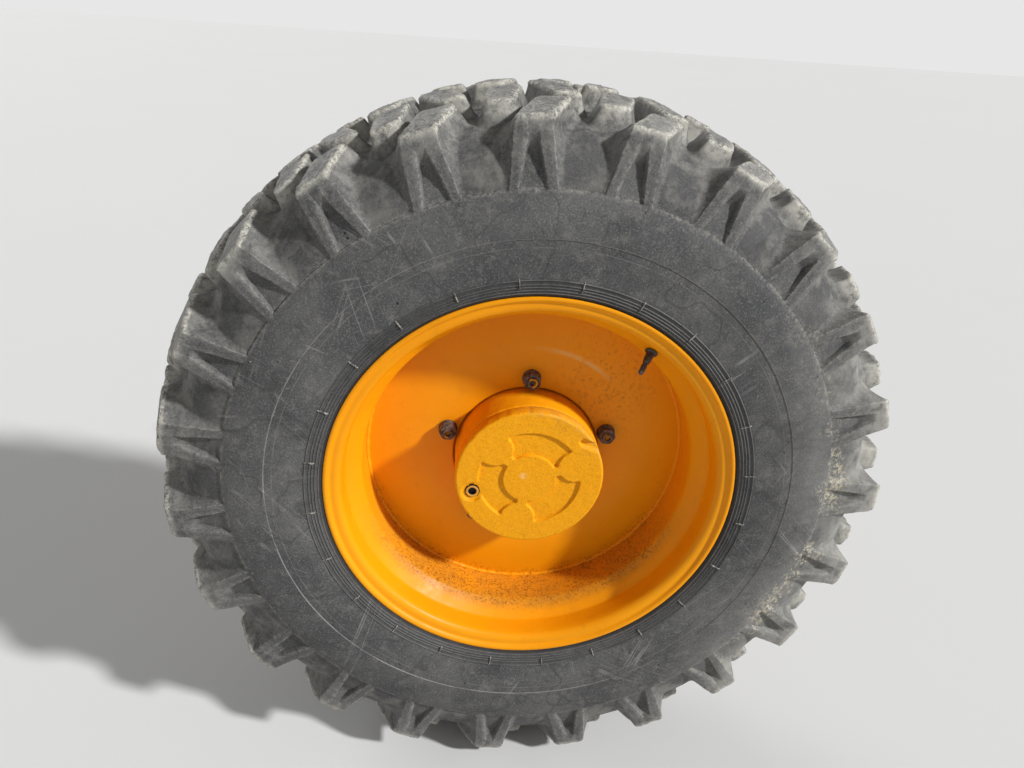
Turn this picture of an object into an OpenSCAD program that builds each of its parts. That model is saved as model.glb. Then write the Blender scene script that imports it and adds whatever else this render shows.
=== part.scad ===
// Driven, steered wheel end of a backhoe loader: a tyre on a dished steel wheel, a hub with an end
// cover, a knuckle on two king pins, and the axle arm that bolts to the middle of the axle.
// +Z is up, +X is the way the machine drives, +Y points inboard along the axle.
// The origin is the centre of the arm's inner flange face.

/* [Tyre] */
// Radius over the middle of the tread
tyre_radius = 700; // [680:1:720]
// Width over the sidewalls
tyre_width = 435; // [425:1:445]
// Radius of the sharp line where the lugs begin on the shoulder
lug_line_radius = 558; // [545:1:570]
// Height of the blocks in the middle of the tread
lug_height = 42; // [30:1:50]
// Drop of the tread from the middle to the shoulder corner
shoulder_drop = 31; // [20:1:40]
// Lugs on each shoulder
lug_count = 23; // [17:1:25]
// Width of a lug at the tread
lug_top = 53; // [46:1:58]
// Width of a lug where it begins
lug_base = 73; // [66:1:80]
// Slant of the shoulder lugs across the tread
lug_slant = 26; // [0:1:28]
// Depth of the notch in the end of each shoulder lug
notch_depth = 22; // [10:1:24]
// Turn of the lugs about the axle at rest
lug_phase = 11.7; // [0:0.1:15]

/* [Rim and disc] */
// Radius of the bead seat
seat_radius = 355.6; // [350:0.1:360]
// Width between the rim flanges
rim_width = 381; // [371:1:391]
// Height of the rim flange over the bead seat
flange_height = 25.4; // [23:0.1:28]
// Sheet thickness of the rim
rim_sheet = 8; // [6:0.5:10]
// Depth of the rim well under the bead seat
well_depth = 30; // [24:1:36]
// Distance of the hub's mounting face outboard of the wheel's middle
disc_offset = 41; // [30:1:50]
// Thickness of the wheel disc
disc_thickness = 14; // [10:1:18]
// Radius of the flat middle of the disc
disc_flat = 205; // [198:1:215]
// Bow of the disc between its flat middle and its edge
disc_bow = 16; // [8:1:20]

/* [Wheel studs] */
// Studs in the hub
stud_count = 5; // [4:1:8]
// Radius of the stud circle
stud_circle = 165; // [163:1:168]
// Radius of a stud
stud_radius = 10; // [8:0.5:11]
// Radius of a nut at its seat
nut_radius = 18; // [16:0.5:19]
// Height of a nut
nut_height = 22; // [16:1:28]

/* [Hub] */
// Radius of the hub drum
drum_radius = 141.5; // [138:0.5:142]
// Distance from the disc's face to the end cover's face
drum_reach = 101.5; // [90:0.5:115]
// Thickness of the end cover
cover_thickness = 28; // [22:1:36]
// Depth of the pockets cast in the end cover
pocket_depth = 5; // [2:0.5:8]
// Radius of the hub's bolting flange
hub_flange = 196; // [190:1:200]
// Thickness of the hub's bolting flange
hub_flange_thickness = 22; // [16:1:28]
// Radius of the hub's neck inside the wheel
neck_radius = 120; // [114:1:126]

/* [Spindle and knuckle] */
// Radius of the outer bearing's journal
journal_outer = 44; // [40:1:46]
// Radius of the inner bearing's journal
journal_inner = 52; // [50:1:56]
// Radius of the hole through the spindle
spindle_bore = 27; // [24:1:30]
// Radius of the spindle's bolting flange
spindle_flange = 104; // [98:1:108]
// Radius of the knuckle's ring
knuckle_ring = 118; // [112:1:124]
// Distance from the wheel's middle to the king pins
kingpin_offset = 131.5; // [126:0.5:150]
// Radius of a king pin
kingpin_radius = 24; // [20:1:28]
// Half the height between the inner faces of the knuckle's arms
arm_inner = 104; // [98:1:112]
// Thickness of the knuckle's arms
arm_thickness = 32; // [26:1:38]
// Distance of the track rod's eye behind the knuckle's pad
eye_reach = 124; // [100:1:136]
// Steering lock to the left
lock_left = 24; // [15:1:26]
// Steering lock to the right
lock_right = 28; // [15:1:30]

/* [Axle arm] */
// Length from the inner flange face to the king pins
arm_length = 525; // [480:1:600]
// Radius of the round arm
arm_radius = 72; // [66:1:80]
// Radius of the hole through the arm
arm_bore = 46; // [40:1:50]
// Radius of the inner flange
flange_radius = 150; // [144:1:170]
// Thickness of the inner flange
flange_thickness = 24; // [18:1:30]
// Holes in the inner flange
flange_holes = 10; // [6:1:12]
// Radius of the circle of holes in the inner flange
flange_circle = 128; // [122:1:130]
// Radius of a hole in the inner flange
flange_hole = 8.5; // [6:0.5:10]
// Radius of the half shaft
shaft_radius = 20; // [17:1:23]

/* [Hidden] */

fit = 0.05;
seat = 0.3;
yellow = [0.93, 0.60, 0.02];
rubber = [0.10, 0.10, 0.105];
steel = [0.55, 0.55, 0.57];
rusty = [0.28, 0.17, 0.12];
black = [0.05, 0.05, 0.05];

// Places along the axle, from the wheel's middle, inboard positive
wheel_y = -(arm_length + kingpin_offset);
bead_v = rim_width / 2;
lip_radius = flange_height / 2 - 0.7;
lip_v = bead_v + lip_radius;
edge_v = lip_v + 1;
flange_top = seat_radius + flange_height;
hub_face_v = -disc_offset;
disc_face_v = hub_face_v - disc_thickness;
cover_face_v = disc_face_v - drum_reach;
cover_back_v = cover_face_v + cover_thickness;
hub_flange_back_v = hub_face_v + hub_flange_thickness;

// Places of the spindle, the hub's bore and the knuckle
drum_wall = 20;
gear_room_r = drum_radius - drum_wall;
web_v = hub_face_v - 26;
neck_length = 45;
hub_back_v = hub_flange_back_v + neck_length;
seal_width = 12;
seal_depth = 28;
seal_radius = journal_inner + seal_depth;
spindle_bolt_count = 8;
spindle_bolt_turn = 180 / spindle_bolt_count;
spindle_bolt_circle = spindle_flange - 14;
spindle_bolt = 6;
spindle_bolt_grip = 16;
journal_step_v = hub_flange_back_v - 14;
spindle_face_v = hub_back_v + 8;
spindle_flange_t = 14;
knuckle_face_v = spindle_face_v + spindle_flange_t;
ring_depth = 22;

module at_wheel() translate([0, wheel_y, 0]) rotate([-90, 0, 0]) children();
module at_kingpin() translate([0, -arm_length, 0]) children();

// A ring about the axle from one place along it to another
module ring(r_out, r_in, v0, v1) {
    rotate_extrude($fn = 96)
        polygon([[r_in, v0], [r_out, v0], [r_out, v1], [r_in, v1]]);
}

// A round pin about the axle at a radius and a turn
module studs_at(count, radius, turn = 0) {
    for (i = [0 : count - 1])
        rotate([0, 0, turn + i * 360 / count]) translate([0, -radius, 0]) children();
}

// Height of the tread's surface at a distance from the middle
tread_half = tyre_width / 2 - 22;
function tread_r(v) = tyre_radius - shoulder_drop * pow(v / tread_half, 2);
base_radius = tyre_radius - lug_height;

// Outline helpers: points are [radius, place along the axle], given from the bead up
function flipped(points) = [for (i = [len(points) - 1 : -1 : 0]) [points[i][0], -points[i][1]]];
function arc_over_lip(radius) = [for (a = [0 : 30 : 90])
    [flange_top - lip_radius + radius * sin(a), lip_v - radius * cos(a)]];

// The bead, and the places along the outline where it bends: "in" is measured from the side, "out"
// from the flange or the lug line, "down" from the carcass under the tread
side_v = tyre_width / 2;
bead_width = 26;
heel = 6;
fillet_out = 12;
low_out = 55;
low_in = 4;
widest_out = 110;
bulge_end = 30;
bulge_in = 3;
line_in = 10;
step_out = 18;
step_in = 21;
valley_out = 45;
valley_in = 31;
knee_down = 28;
knee_in = 46;
crown_down = 8;
crown_in = 90;
crown_half = 10;
wall = 18;
tread_wall = 20;
tyre_outside = concat(
    [[seat_radius + seat, bead_v - bead_width], [seat_radius + seat, bead_v - heel],
     [seat_radius + heel, bead_v - seat]],
    arc_over_lip(lip_radius + seat),
    [[flange_top + fillet_out, edge_v + low_in],
     [flange_top + low_out, side_v - low_in],
     [flange_top + widest_out, side_v],
     [lug_line_radius - bulge_end, side_v - bulge_in],
     [lug_line_radius, side_v - line_in],
     [lug_line_radius + step_out, side_v - step_in],
     [lug_line_radius + valley_out, side_v - valley_in],
     [base_radius - knee_down, side_v - knee_in],
     [base_radius - crown_down, side_v - crown_in],
     [base_radius, crown_half]]);
tyre_inside = [
    [flange_top + heel, bead_v - bead_width / 2],
    [flange_top + low_out + wall, side_v - wall],
    [lug_line_radius - wall, side_v - wall - bulge_in],
    [lug_line_radius + valley_out, side_v - knee_in - line_in],
    [base_radius - tread_wall, crown_half]];

module carcass() {
    rotate_extrude($fn = 96)
        polygon(concat(tyre_outside, flipped(tyre_outside),
            [for (p = tyre_inside) [p[0], -p[1]]], [for (i = [len(tyre_inside) - 1 : -1 : 0]) tyre_inside[i]]));
}

// The space that one row of blocks fills, as a ring whose underside is sunk in the carcass
sunk = 6;
block_rake = 10;
shoulder_flat = 40;
module shoulder_ring(v_end) {
    rotate_extrude($fn = 96)
        polygon([
            [lug_line_radius - 2, -(side_v - line_in - sunk)],
            [lug_line_radius, -(side_v - line_in)],
            [tread_r(tread_half), -tread_half],
            [tread_r(tread_half - shoulder_flat), -(tread_half - shoulder_flat)],
            [tread_r(v_end), -v_end],
            [base_radius - 2 * sunk, -(v_end - block_rake)],
            [base_radius - knee_down - sunk, -(side_v - knee_in - sunk)],
            [lug_line_radius + valley_out - sunk, -(side_v - valley_in - sunk)],
            [lug_line_radius + step_out - sunk, -(side_v - step_in - sunk)]]);
}
module block_ring(v_start, v_end) {
    rotate_extrude($fn = 96)
        polygon([
            [base_radius - 3 * sunk, -(v_start + block_rake)],
            [tread_r(v_start), -v_start],
            [tread_r(v_end), -v_end],
            [base_radius - sunk, -(v_end - block_rake)]]);
}

// Radial bars with a trapezoid section, set round the tread and slanted across it; a flare widens
// their foot where they stand on the carcass
module bars(top, base, slant, phase, v_pivot, r_base, flare = 0) {
    flare_r = r_base + 1.6 * flare;
    for (i = [0 : lug_count - 1])
        rotate([0, 0, phase + i * 360 / lug_count]) translate([0, 0, -v_pivot]) rotate([0, slant, 0])
            linear_extrude(tyre_width, center = true)
                polygon([[-base / 2 - flare, -r_base], [base / 2 + flare, -r_base], [base / 2, -flare_r],
                    [top / 2, -tyre_radius - sunk], [-top / 2, -tyre_radius - sunk], [-base / 2, -flare_r]]);
}

// Notch in the end of a shoulder lug, between two ribs that lean together towards the tread; its
// floor falls away from the lug's foot to its deepest place, and rises from there to the face
face_foot_v = side_v - line_in;
function face_v(r) = -(face_foot_v - (face_foot_v - tread_half) * (r - lug_line_radius)
    / (tread_r(tread_half) - lug_line_radius));
rib_width = 15;
notch_foot_r = lug_line_radius + 2;
notch_deep_r = lug_line_radius + 56;
notch_end_r = lug_line_radius + 86;
notch_foot_depth = 4;
notch_end_half = 7;
module notches() {
    notch_half = lug_base / 2 - rib_width;
    for (i = [0 : lug_count - 1])
        rotate([0, 0, lug_phase + i * 360 / lug_count]) intersection() {
            translate([0, 0, -side_v - sunk]) linear_extrude(notch_depth + valley_in)
                polygon([[-notch_half, -notch_foot_r], [notch_half, -notch_foot_r],
                    [notch_end_half, -notch_end_r], [-notch_end_half, -notch_end_r]]);
            rotate([90, 0, 90]) linear_extrude(lug_base, center = true)
                polygon([[-notch_foot_r, -side_v - sunk],
                    [-notch_foot_r, face_v(notch_foot_r) + notch_foot_depth],
                    [-notch_deep_r, face_v(notch_deep_r) + notch_depth],
                    [-notch_end_r, face_v(notch_end_r)],
                    [-notch_end_r, -side_v - sunk]]);
        }
}

// The rows of blocks: how far in from the edge of the tread they start and how long they are, their
// places between two lugs as a share of the pitch, and their slant
pitch = 360 / lug_count;
shoulder_length = 77.5;
shoulder_pivot_in = 15;
block_start_in = 60.5;
block_length = 89;
block_share = 0.73;
block_slant = 11;
middle_start_in = 105.5;
middle_past = 4;
middle_narrower = 4;
middle_share = 0.316;
middle_slant = -20;
block_flare = 16;
block_taper = 8;
shoulder_end = tread_half - shoulder_length;
block_start = tread_half - block_start_in;
middle_start = tread_half - middle_start_in;
block_foot_r = base_radius - 3 * sunk;
module tread_side() {
    difference() {
        intersection() {
            shoulder_ring(shoulder_end);
            bars(lug_top, lug_base, lug_slant, lug_phase, side_v - shoulder_pivot_in, lug_line_radius - line_in);
        }
        notches();
    }
    intersection() {
        block_ring(block_start, block_start - block_length);
        bars(lug_top, lug_top + block_taper, block_slant, lug_phase + pitch * block_share, block_start,
            block_foot_r, block_flare);
    }
    intersection() {
        block_ring(middle_start, -middle_past);
        bars(lug_top - middle_narrower, lug_top - middle_narrower + block_taper, middle_slant,
            lug_phase + pitch * middle_share, middle_start, block_foot_r, block_flare);
    }
}

module tyre() {
    color(rubber) at_wheel() {
        carcass();
        tread_side();
        mirror([0, 0, 1]) rotate([0, 0, pitch / 2]) tread_side();
    }
}

// Half outline of the rim's tyre side, from the lip to the middle, and the same less the sheet
well_radius = seat_radius - well_depth;
rim_tyre_side = concat(
    [for (p = [0 : 3]) arc_over_lip(lip_radius)[3 - p]],
    [[seat_radius + 5, bead_v],
     [seat_radius, bead_v - 5],
     [seat_radius - 2, bead_v - 34],
     [well_radius, bead_v - 70]]);
rim_air_side = concat(
    [[flange_top - 2, edge_v], [flange_top - 6, edge_v], [flange_top - rim_sheet, lip_v]],
    [[flange_top - lip_radius, bead_v + rim_sheet],
     [seat_radius, bead_v + rim_sheet],
     [seat_radius - rim_sheet, bead_v - 2],
     [seat_radius - 2 - rim_sheet, bead_v - 38],
     [well_radius - rim_sheet, bead_v - 74]]);

// The valve stands on the slope between the seat and the well
valve_r = seat_radius - 24;
valve_v = -(bead_v - 56);
valve_turn = 38;
valve_tilt = 40;
module at_valve() {
    rotate([0, 0, valve_turn]) translate([0, -valve_r, valve_v]) rotate([90 + 180 - valve_tilt, 0, 0]) children();
}

module rim() {
    color(yellow) at_wheel() difference() {
        rotate_extrude($fn = 96)
            polygon(concat(rim_tyre_side, flipped(rim_tyre_side),
                [for (p = rim_air_side) [p[0], -p[1]]], [for (i = [len(rim_air_side) - 1 : -1 : 0]) rim_air_side[i]]));
        at_valve() cylinder(r = 8, h = 60, center = true, $fn = 24);
    }
}

disc_edge_r = well_radius - rim_sheet - seat;
module wheel_disc() {
    color(yellow) at_wheel() difference() {
        rotate_extrude($fn = 96)
            polygon([
                [drum_radius + 2, disc_face_v], [disc_flat, disc_face_v],
                [disc_flat + 35, disc_face_v + disc_bow * 0.18],
                [disc_flat + 75, disc_face_v + disc_bow * 0.62],
                [disc_edge_r, disc_face_v + disc_bow],
                [disc_edge_r, disc_face_v + disc_bow + disc_thickness],
                [disc_flat + 75, disc_face_v + disc_bow * 0.62 + disc_thickness],
                [disc_flat + 35, disc_face_v + disc_bow * 0.18 + disc_thickness],
                [disc_flat, hub_face_v], [drum_radius + 2, hub_face_v]]);
        studs_at(stud_count, stud_circle) translate([0, 0, disc_face_v - 5])
            cylinder(r = stud_radius + 1, h = disc_thickness + 10, $fn = 32);
    }
}

module wheel_nuts() {
    color(rusty) at_wheel() studs_at(stud_count, stud_circle) translate([0, 0, disc_face_v - nut_height])
        difference() {
            union() {
                cylinder(r1 = nut_radius * 0.68, r2 = nut_radius * 0.8, h = nut_height * 0.35, $fn = 48);
                translate([0, 0, nut_height * 0.35])
                    cylinder(r1 = nut_radius * 0.92, r2 = nut_radius, h = nut_height * 0.65, $fn = 48);
            }
            translate([0, 0, -1]) cylinder(r = stud_radius + fit, h = nut_height + 2, $fn = 32);
        }
}

stud_out = 5;
module wheel_studs() {
    color(rusty) at_wheel() studs_at(stud_count, stud_circle) {
        translate([0, 0, disc_face_v - nut_height - stud_out])
            cylinder(r = stud_radius, h = nut_height + stud_out + disc_thickness + hub_flange_thickness, $fn = 32);
        translate([0, 0, hub_flange_back_v]) cylinder(r = stud_radius + 5, h = 7, $fn = 32);
    }
}

module valve_stem() {
    color(black) at_wheel() at_valve() {
        translate([0, 0, -12]) cylinder(r = 7.9, h = 24, $fn = 24);
        translate([0, 0, 12]) cylinder(r1 = 7.5, r2 = 5, h = 12, $fn = 24);
        translate([0, 0, 24]) cylinder(r = 4, h = 26, $fn = 24);
    }
}

module hub() {
    color(yellow) at_wheel() difference() {
        rotate_extrude($fn = 96)
            polygon([
                [gear_room_r, cover_back_v], [drum_radius, cover_back_v],
                [drum_radius, hub_face_v], [hub_flange, hub_face_v],
                [hub_flange, hub_flange_back_v - 4], [hub_flange - 4, hub_flange_back_v],
                [neck_radius + 8, hub_flange_back_v], [neck_radius, hub_flange_back_v + 8],
                [neck_radius - 6, hub_back_v],
                [seal_radius, hub_back_v], [seal_radius, hub_back_v - seal_width],
                [journal_inner + fit, hub_back_v - seal_width],
                [journal_inner + fit, journal_step_v - fit], [journal_outer + fit, journal_step_v - fit],
                [journal_outer + fit, web_v], [gear_room_r, web_v]]);
        studs_at(stud_count, stud_circle) translate([0, 0, hub_face_v - 5])
            cylinder(r = stud_radius + fit, h = hub_flange_thickness + 10, $fn = 32);
    }
}

// Three bosses for the planet pins part the pockets on the cover's face
boss_circle = 90;
boss_radius = 31;
boss_turn = 71.6;
bridge_half = 8;
bridge_length = 40;
pocket_in = 51;
pocket_out = 98;
plug_circle = 112;
plug_turn = 253.4;
plug_radius = 13;
plug_bay = 7;
plug_hole = 30;
notch_turn = 52.6;
notch_slot_half = 8;
notch_slot_length = 13;
cover_chamfer = 3.5;
cover_face_wall = 16;
cover_spigot = 10;
cover_spigot_wall = 14;
module end_cover() {
    color(yellow) at_wheel() difference() {
        rotate_extrude($fn = 96)
            polygon([
                [0, cover_face_v], [drum_radius - cover_chamfer, cover_face_v],
                [drum_radius, cover_face_v + cover_chamfer],
                [drum_radius, cover_back_v - fit], [gear_room_r - seat, cover_back_v - fit],
                [gear_room_r - seat, cover_back_v + cover_spigot],
                [gear_room_r - cover_spigot_wall, cover_back_v + cover_spigot],
                [gear_room_r - cover_spigot_wall, cover_face_v + cover_face_wall],
                [0, cover_face_v + cover_face_wall]]);
        translate([0, 0, cover_face_v]) {
            difference() {
                ring(pocket_out, pocket_in, -1, pocket_depth);
                studs_at(3, boss_circle, boss_turn)
                    translate([0, 0, -2]) cylinder(r = boss_radius, h = pocket_depth + 4, $fn = 48);
                studs_at(3, boss_circle - 30, boss_turn)
                    translate([-bridge_half, -bridge_length / 2, -2])
                        cube([2 * bridge_half, bridge_length, pocket_depth + 4]);
            }
            studs_at(1, plug_circle, plug_turn)
                translate([0, 0, -1]) cylinder(r = plug_radius + plug_bay, h = 1 + pocket_depth, $fn = 48);
            studs_at(1, plug_circle, plug_turn)
                translate([0, 0, -1]) cylinder(r = plug_radius, h = plug_hole, $fn = 48);
            // Slot in the rim for a lever
            rotate([0, 0, notch_turn]) translate([0, notch_slot_length - drum_radius, -1]) {
                translate([-notch_slot_half, -notch_slot_length - 5, 0])
                    cube([2 * notch_slot_half, notch_slot_length + 5, notch_slot_half]);
                cylinder(r = notch_slot_half, h = notch_slot_half, $fn = 32);
            }
        }
    }
}

module level_plug() {
    color(black) at_wheel() studs_at(1, plug_circle, plug_turn) translate([0, 0, cover_face_v]) difference() {
        translate([0, 0, 1]) cylinder(r = plug_radius - fit, h = 15, $fn = 48);
        translate([0, 0, -1]) cylinder(r = 8, h = 10, $fn = 6);
    }
}

module hub_seal() {
    color(black) at_wheel()
        ring(seal_radius - fit, journal_inner + 6 + fit, hub_back_v - seal_width + 1, hub_back_v + 1);
}

module spindle() {
    color(steel) at_wheel() difference() {
        rotate_extrude($fn = 96)
            polygon([
                [spindle_bore, web_v - 8], [journal_outer - 3, web_v - 8], [journal_outer, web_v - 5],
                [journal_outer, journal_step_v], [journal_inner, journal_step_v],
                [journal_inner, hub_back_v - seal_width + 0.5], [journal_inner + 6, hub_back_v - seal_width + 0.5],
                [journal_inner + 6, spindle_face_v - 2], [journal_inner + 14, spindle_face_v],
                [spindle_flange, spindle_face_v], [spindle_flange, knuckle_face_v], [spindle_bore, knuckle_face_v]]);
        studs_at(spindle_bolt_count, spindle_bolt_circle, spindle_bolt_turn) translate([0, 0, spindle_face_v - 5])
            cylinder(r = spindle_bolt + 0.5, h = spindle_flange_t + 10, $fn = 24);
    }
}

module spindle_bolts() {
    color(steel) at_wheel() studs_at(spindle_bolt_count, spindle_bolt_circle, spindle_bolt_turn) {
        translate([0, 0, spindle_face_v]) cylinder(r = spindle_bolt, h = spindle_flange_t + spindle_bolt_grip, $fn = 24);
        translate([0, 0, spindle_face_v - 7]) cylinder(r = spindle_bolt + 3.5, h = 7, $fn = 6);
    }
}

// The knuckle's ring carries the spindle, and its two arms reach back over and under the axle's fork
arm_outer = arm_inner + arm_thickness;
arm_half = kingpin_radius + 20;
ring_back_v = knuckle_face_v + ring_depth;
ring_wall = 44;
ring_inside = knuckle_ring - ring_wall;
arm_reach = kingpin_offset - ring_back_v;
ring_back_y = ring_back_v - kingpin_offset;
pad_x = knuckle_ring + 8;
pad_half = 46;
pad_depth = 32;
pad_bolt = 31;
pad_y = knuckle_face_v + 1 + pad_depth / 2 - kingpin_offset;
arm_bolt = 8;
arm_bolt_grip = 24;
kingpin_bolt = 5;
kingpin_ear = kingpin_radius + 9;
stop_x = 90;
stop_screw = 8;
stop_screw_depth = 20;
stop_screw_out = 16;
stop_head = 12;
stop_head_height = 8;
stop_boss_wall = 6;
stop_boss_height = 26;
stop_boss_y = ring_back_y + stop_boss_height;
root_half = arm_half + 12;
root_cut = 16;
rib_half = 7;
rib_rise = 9;
module knuckle_arm() {
    // Drawn about the king pin with the wheel towards -Y
    root_y = -arm_reach - ring_depth;
    cylinder(r = arm_half, h = arm_thickness, $fn = 64);
    intersection() {
        linear_extrude(arm_thickness)
            polygon([[-root_half, root_y], [root_half, root_y], [arm_half, 0], [-arm_half, 0]]);
        rotate([90, 0, 90]) linear_extrude(2 * root_half, center = true)
            polygon([[root_y, 0], [root_y, arm_thickness - root_cut], [root_y + root_cut, arm_thickness],
                [0, arm_thickness], [0, 0]]);
    }
    // Ribs from the root to the pin's cap
    for (s = [-1, 1]) translate([s * (arm_half - rib_half), 0, 0]) rotate([90, 0, 90])
        linear_extrude(2 * rib_half, center = true)
            polygon([[root_y, arm_thickness - root_cut], [root_y, arm_thickness - root_cut + rib_rise],
                [root_y + root_cut, arm_thickness + rib_rise], [-kingpin_radius, arm_thickness + 2],
                [-kingpin_radius, arm_thickness - 4]]);
}
module knuckle_arm_holes() {
    translate([0, 0, -1]) cylinder(r = kingpin_radius + fit, h = arm_thickness + 2, $fn = 64);
    for (s = [-1, 1]) translate([s * kingpin_ear, 0, -1])
        cylinder(r = kingpin_bolt + 0.2, h = arm_thickness + 2, $fn = 24);
}
module knuckle() {
    color(yellow) difference() {
        union() {
            at_wheel() rotate_extrude($fn = 96)
                polygon([
                    [ring_inside, knuckle_face_v], [knuckle_ring, knuckle_face_v],
                    [knuckle_ring, ring_back_v - 5], [knuckle_ring - 5, ring_back_v], [ring_inside, ring_back_v]]);
            at_kingpin() {
                // Pad for the steering arm
                translate([-pad_x, pad_y - pad_depth / 2, -pad_half])
                    cube([pad_x - knuckle_ring + 22, pad_depth, 2 * pad_half]);
                // Bosses for the stop screws
                for (s = [-1, 1]) translate([s * stop_x, stop_boss_y, 0]) rotate([90, 0, 0])
                    cylinder(r = stop_screw + stop_boss_wall, h = stop_boss_height + 4, $fn = 32);
                translate([0, 0, arm_inner]) knuckle_arm();
                mirror([0, 0, 1]) translate([0, 0, arm_inner]) knuckle_arm();
            }
        }
        at_wheel() studs_at(spindle_bolt_count, spindle_bolt_circle, spindle_bolt_turn)
            translate([0, 0, knuckle_face_v - 5]) cylinder(r = spindle_bolt + fit, h = spindle_bolt_grip + 6, $fn = 24);
        at_kingpin() {
            for (s = [-1, 1]) translate([-pad_x - 1, pad_y, s * pad_bolt]) rotate([0, 90, 0])
                cylinder(r = arm_bolt + fit, h = arm_bolt_grip + 4, $fn = 24);
            for (s = [-1, 1]) translate([s * stop_x, stop_boss_y + 1, 0]) rotate([90, 0, 0])
                cylinder(r = stop_screw + fit, h = stop_screw_depth + 9, $fn = 24);
            translate([0, 0, arm_inner]) knuckle_arm_holes();
            mirror([0, 0, 1]) translate([0, 0, arm_inner]) knuckle_arm_holes();
        }
    }
}

fork_half = arm_inner - 6;
fork_thickness = 34;
cap_thickness = 9;
module kingpin() {
    translate([0, 0, fork_half - fork_thickness + 4])
        cylinder(r = kingpin_radius, h = arm_outer - fork_half + fork_thickness - 4, $fn = 64);
    translate([0, 0, arm_outer]) difference() {
        union() {
            cylinder(r = kingpin_radius + 2, h = cap_thickness, $fn = 64);
            for (s = [-1, 1]) translate([s * kingpin_ear, 0, 0]) cylinder(r = 10, h = cap_thickness, $fn = 32);
            translate([-kingpin_ear, -10, 0]) cube([2 * kingpin_ear, 20, cap_thickness]);
        }
        for (s = [-1, 1]) translate([s * kingpin_ear, 0, -1])
            cylinder(r = kingpin_bolt + 0.2, h = cap_thickness + 2, $fn = 24);
    }
}
module kingpin_upper() color(steel) at_kingpin() kingpin();
module kingpin_lower() color(steel) at_kingpin() mirror([0, 0, 1]) kingpin();

module kingpin_bolts() {
    color(steel) at_kingpin() for (m = [0, 1]) mirror([0, 0, m])
        for (s = [-1, 1]) translate([s * kingpin_ear, 0, arm_outer + cap_thickness]) {
            translate([0, 0, -cap_thickness - 20]) cylinder(r = kingpin_bolt, h = cap_thickness + 20, $fn = 24);
            cylinder(r = kingpin_bolt + 3.5, h = 6, $fn = 6);
        }
}

// The steering arm is bolted to the knuckle's pad and reaches back and inboard to the track rod's eye,
// which lies just clear of the tyre's inner side
eye_radius = 11;
eye_wall = 15;
eye_clear = 7;
eye_x = -(pad_x + eye_reach);
eye_y = side_v - kingpin_offset + eye_radius + eye_clear;
arm_plate = 22;
arm_height = 30;
module steering_arm() {
    color(yellow) at_kingpin() difference() {
        union() {
            translate([-pad_x - arm_plate, pad_y - pad_depth / 2, -pad_half])
                cube([arm_plate, pad_depth, 2 * pad_half]);
            translate([0, 0, -arm_height / 2]) linear_extrude(arm_height)
                polygon([
                    [-pad_x, pad_y - pad_depth / 2], [-pad_x, pad_y + pad_depth / 2],
                    [eye_x + 22, eye_y - 12], [eye_x - 24, eye_y - 8],
                    [-pad_x - arm_plate - 18, pad_y - pad_depth / 2]]);
            translate([eye_x, eye_y, -arm_height / 2]) cylinder(r = eye_radius + eye_wall, h = arm_height, $fn = 64);
        }
        translate([eye_x, eye_y, -arm_height]) cylinder(r = eye_radius, h = 2 * arm_height, $fn = 64);
        for (s = [-1, 1]) translate([-pad_x - arm_plate - 25, pad_y, s * pad_bolt]) rotate([0, 90, 0])
            cylinder(r = arm_bolt + 0.5, h = arm_plate + 30, $fn = 24);
    }
}

module steering_arm_bolts() {
    color(steel) at_kingpin() for (s = [-1, 1]) translate([-pad_x, pad_y, s * pad_bolt]) rotate([0, 90, 0]) {
        translate([0, 0, -arm_plate]) cylinder(r = arm_bolt, h = arm_plate + arm_bolt_grip, $fn = 24);
        translate([0, 0, -arm_plate - 10]) cylinder(r = arm_bolt + 5, h = 10, $fn = 6);
    }
}

module stop_screws() {
    color(steel) at_kingpin() for (s = [-1, 1]) translate([s * stop_x, stop_boss_y, 0]) rotate([-90, 0, 0]) {
        translate([0, 0, -stop_screw_depth])
            cylinder(r = stop_screw, h = stop_screw_depth + stop_screw_out, $fn = 24);
        cylinder(r = stop_head, h = stop_head_height, $fn = 6);
    }
}

// Universal joint in the fork: the outer yoke turns with the knuckle on the cross's upright pins
cross_radius = 10;
ear_in = 26;
ear_out = 44;
ear_half = 17;
yoke_hub = 25;
yoke_neck = 50;
module ear_pair() {
    // Ears above and below, with the shaft's hub behind them towards -Y
    difference() {
        union() {
            for (m = [0, 1]) mirror([0, 0, m]) {
                translate([0, 0, ear_in]) cylinder(r = ear_half, h = ear_out - ear_in, $fn = 48);
                translate([-ear_half, -yoke_neck, ear_in]) cube([2 * ear_half, yoke_neck, ear_out - ear_in]);
            }
            translate([-ear_half, -yoke_neck - 8, -ear_out]) cube([2 * ear_half, 14, 2 * ear_out]);
        }
        translate([0, 0, -ear_out - 1]) cylinder(r = cross_radius + fit, h = 2 * ear_out + 2, $fn = 48);
    }
}
module outer_yoke() {
    color(steel) at_kingpin() {
        ear_pair();
        rotate([90, 0, 0]) translate([0, 0, yoke_neck]) cylinder(r = yoke_hub, h = 22, $fn = 48);
        rotate([90, 0, 0]) translate([0, 0, yoke_neck])
            cylinder(r = shaft_radius, h = kingpin_offset - yoke_neck - web_v + 34, $fn = 48);
    }
}

module joint_cross() {
    color(steel) at_kingpin() {
        translate([0, 0, -ear_out]) cylinder(r = cross_radius, h = 2 * ear_out, $fn = 48);
        rotate([0, 90, 0]) translate([0, 0, -ear_out]) cylinder(r = cross_radius, h = 2 * ear_out, $fn = 48);
        rotate([0, 90, 0]) translate([0, 0, -16]) cylinder(r = 16, h = 32, $fn = 48);
    }
}

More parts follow.
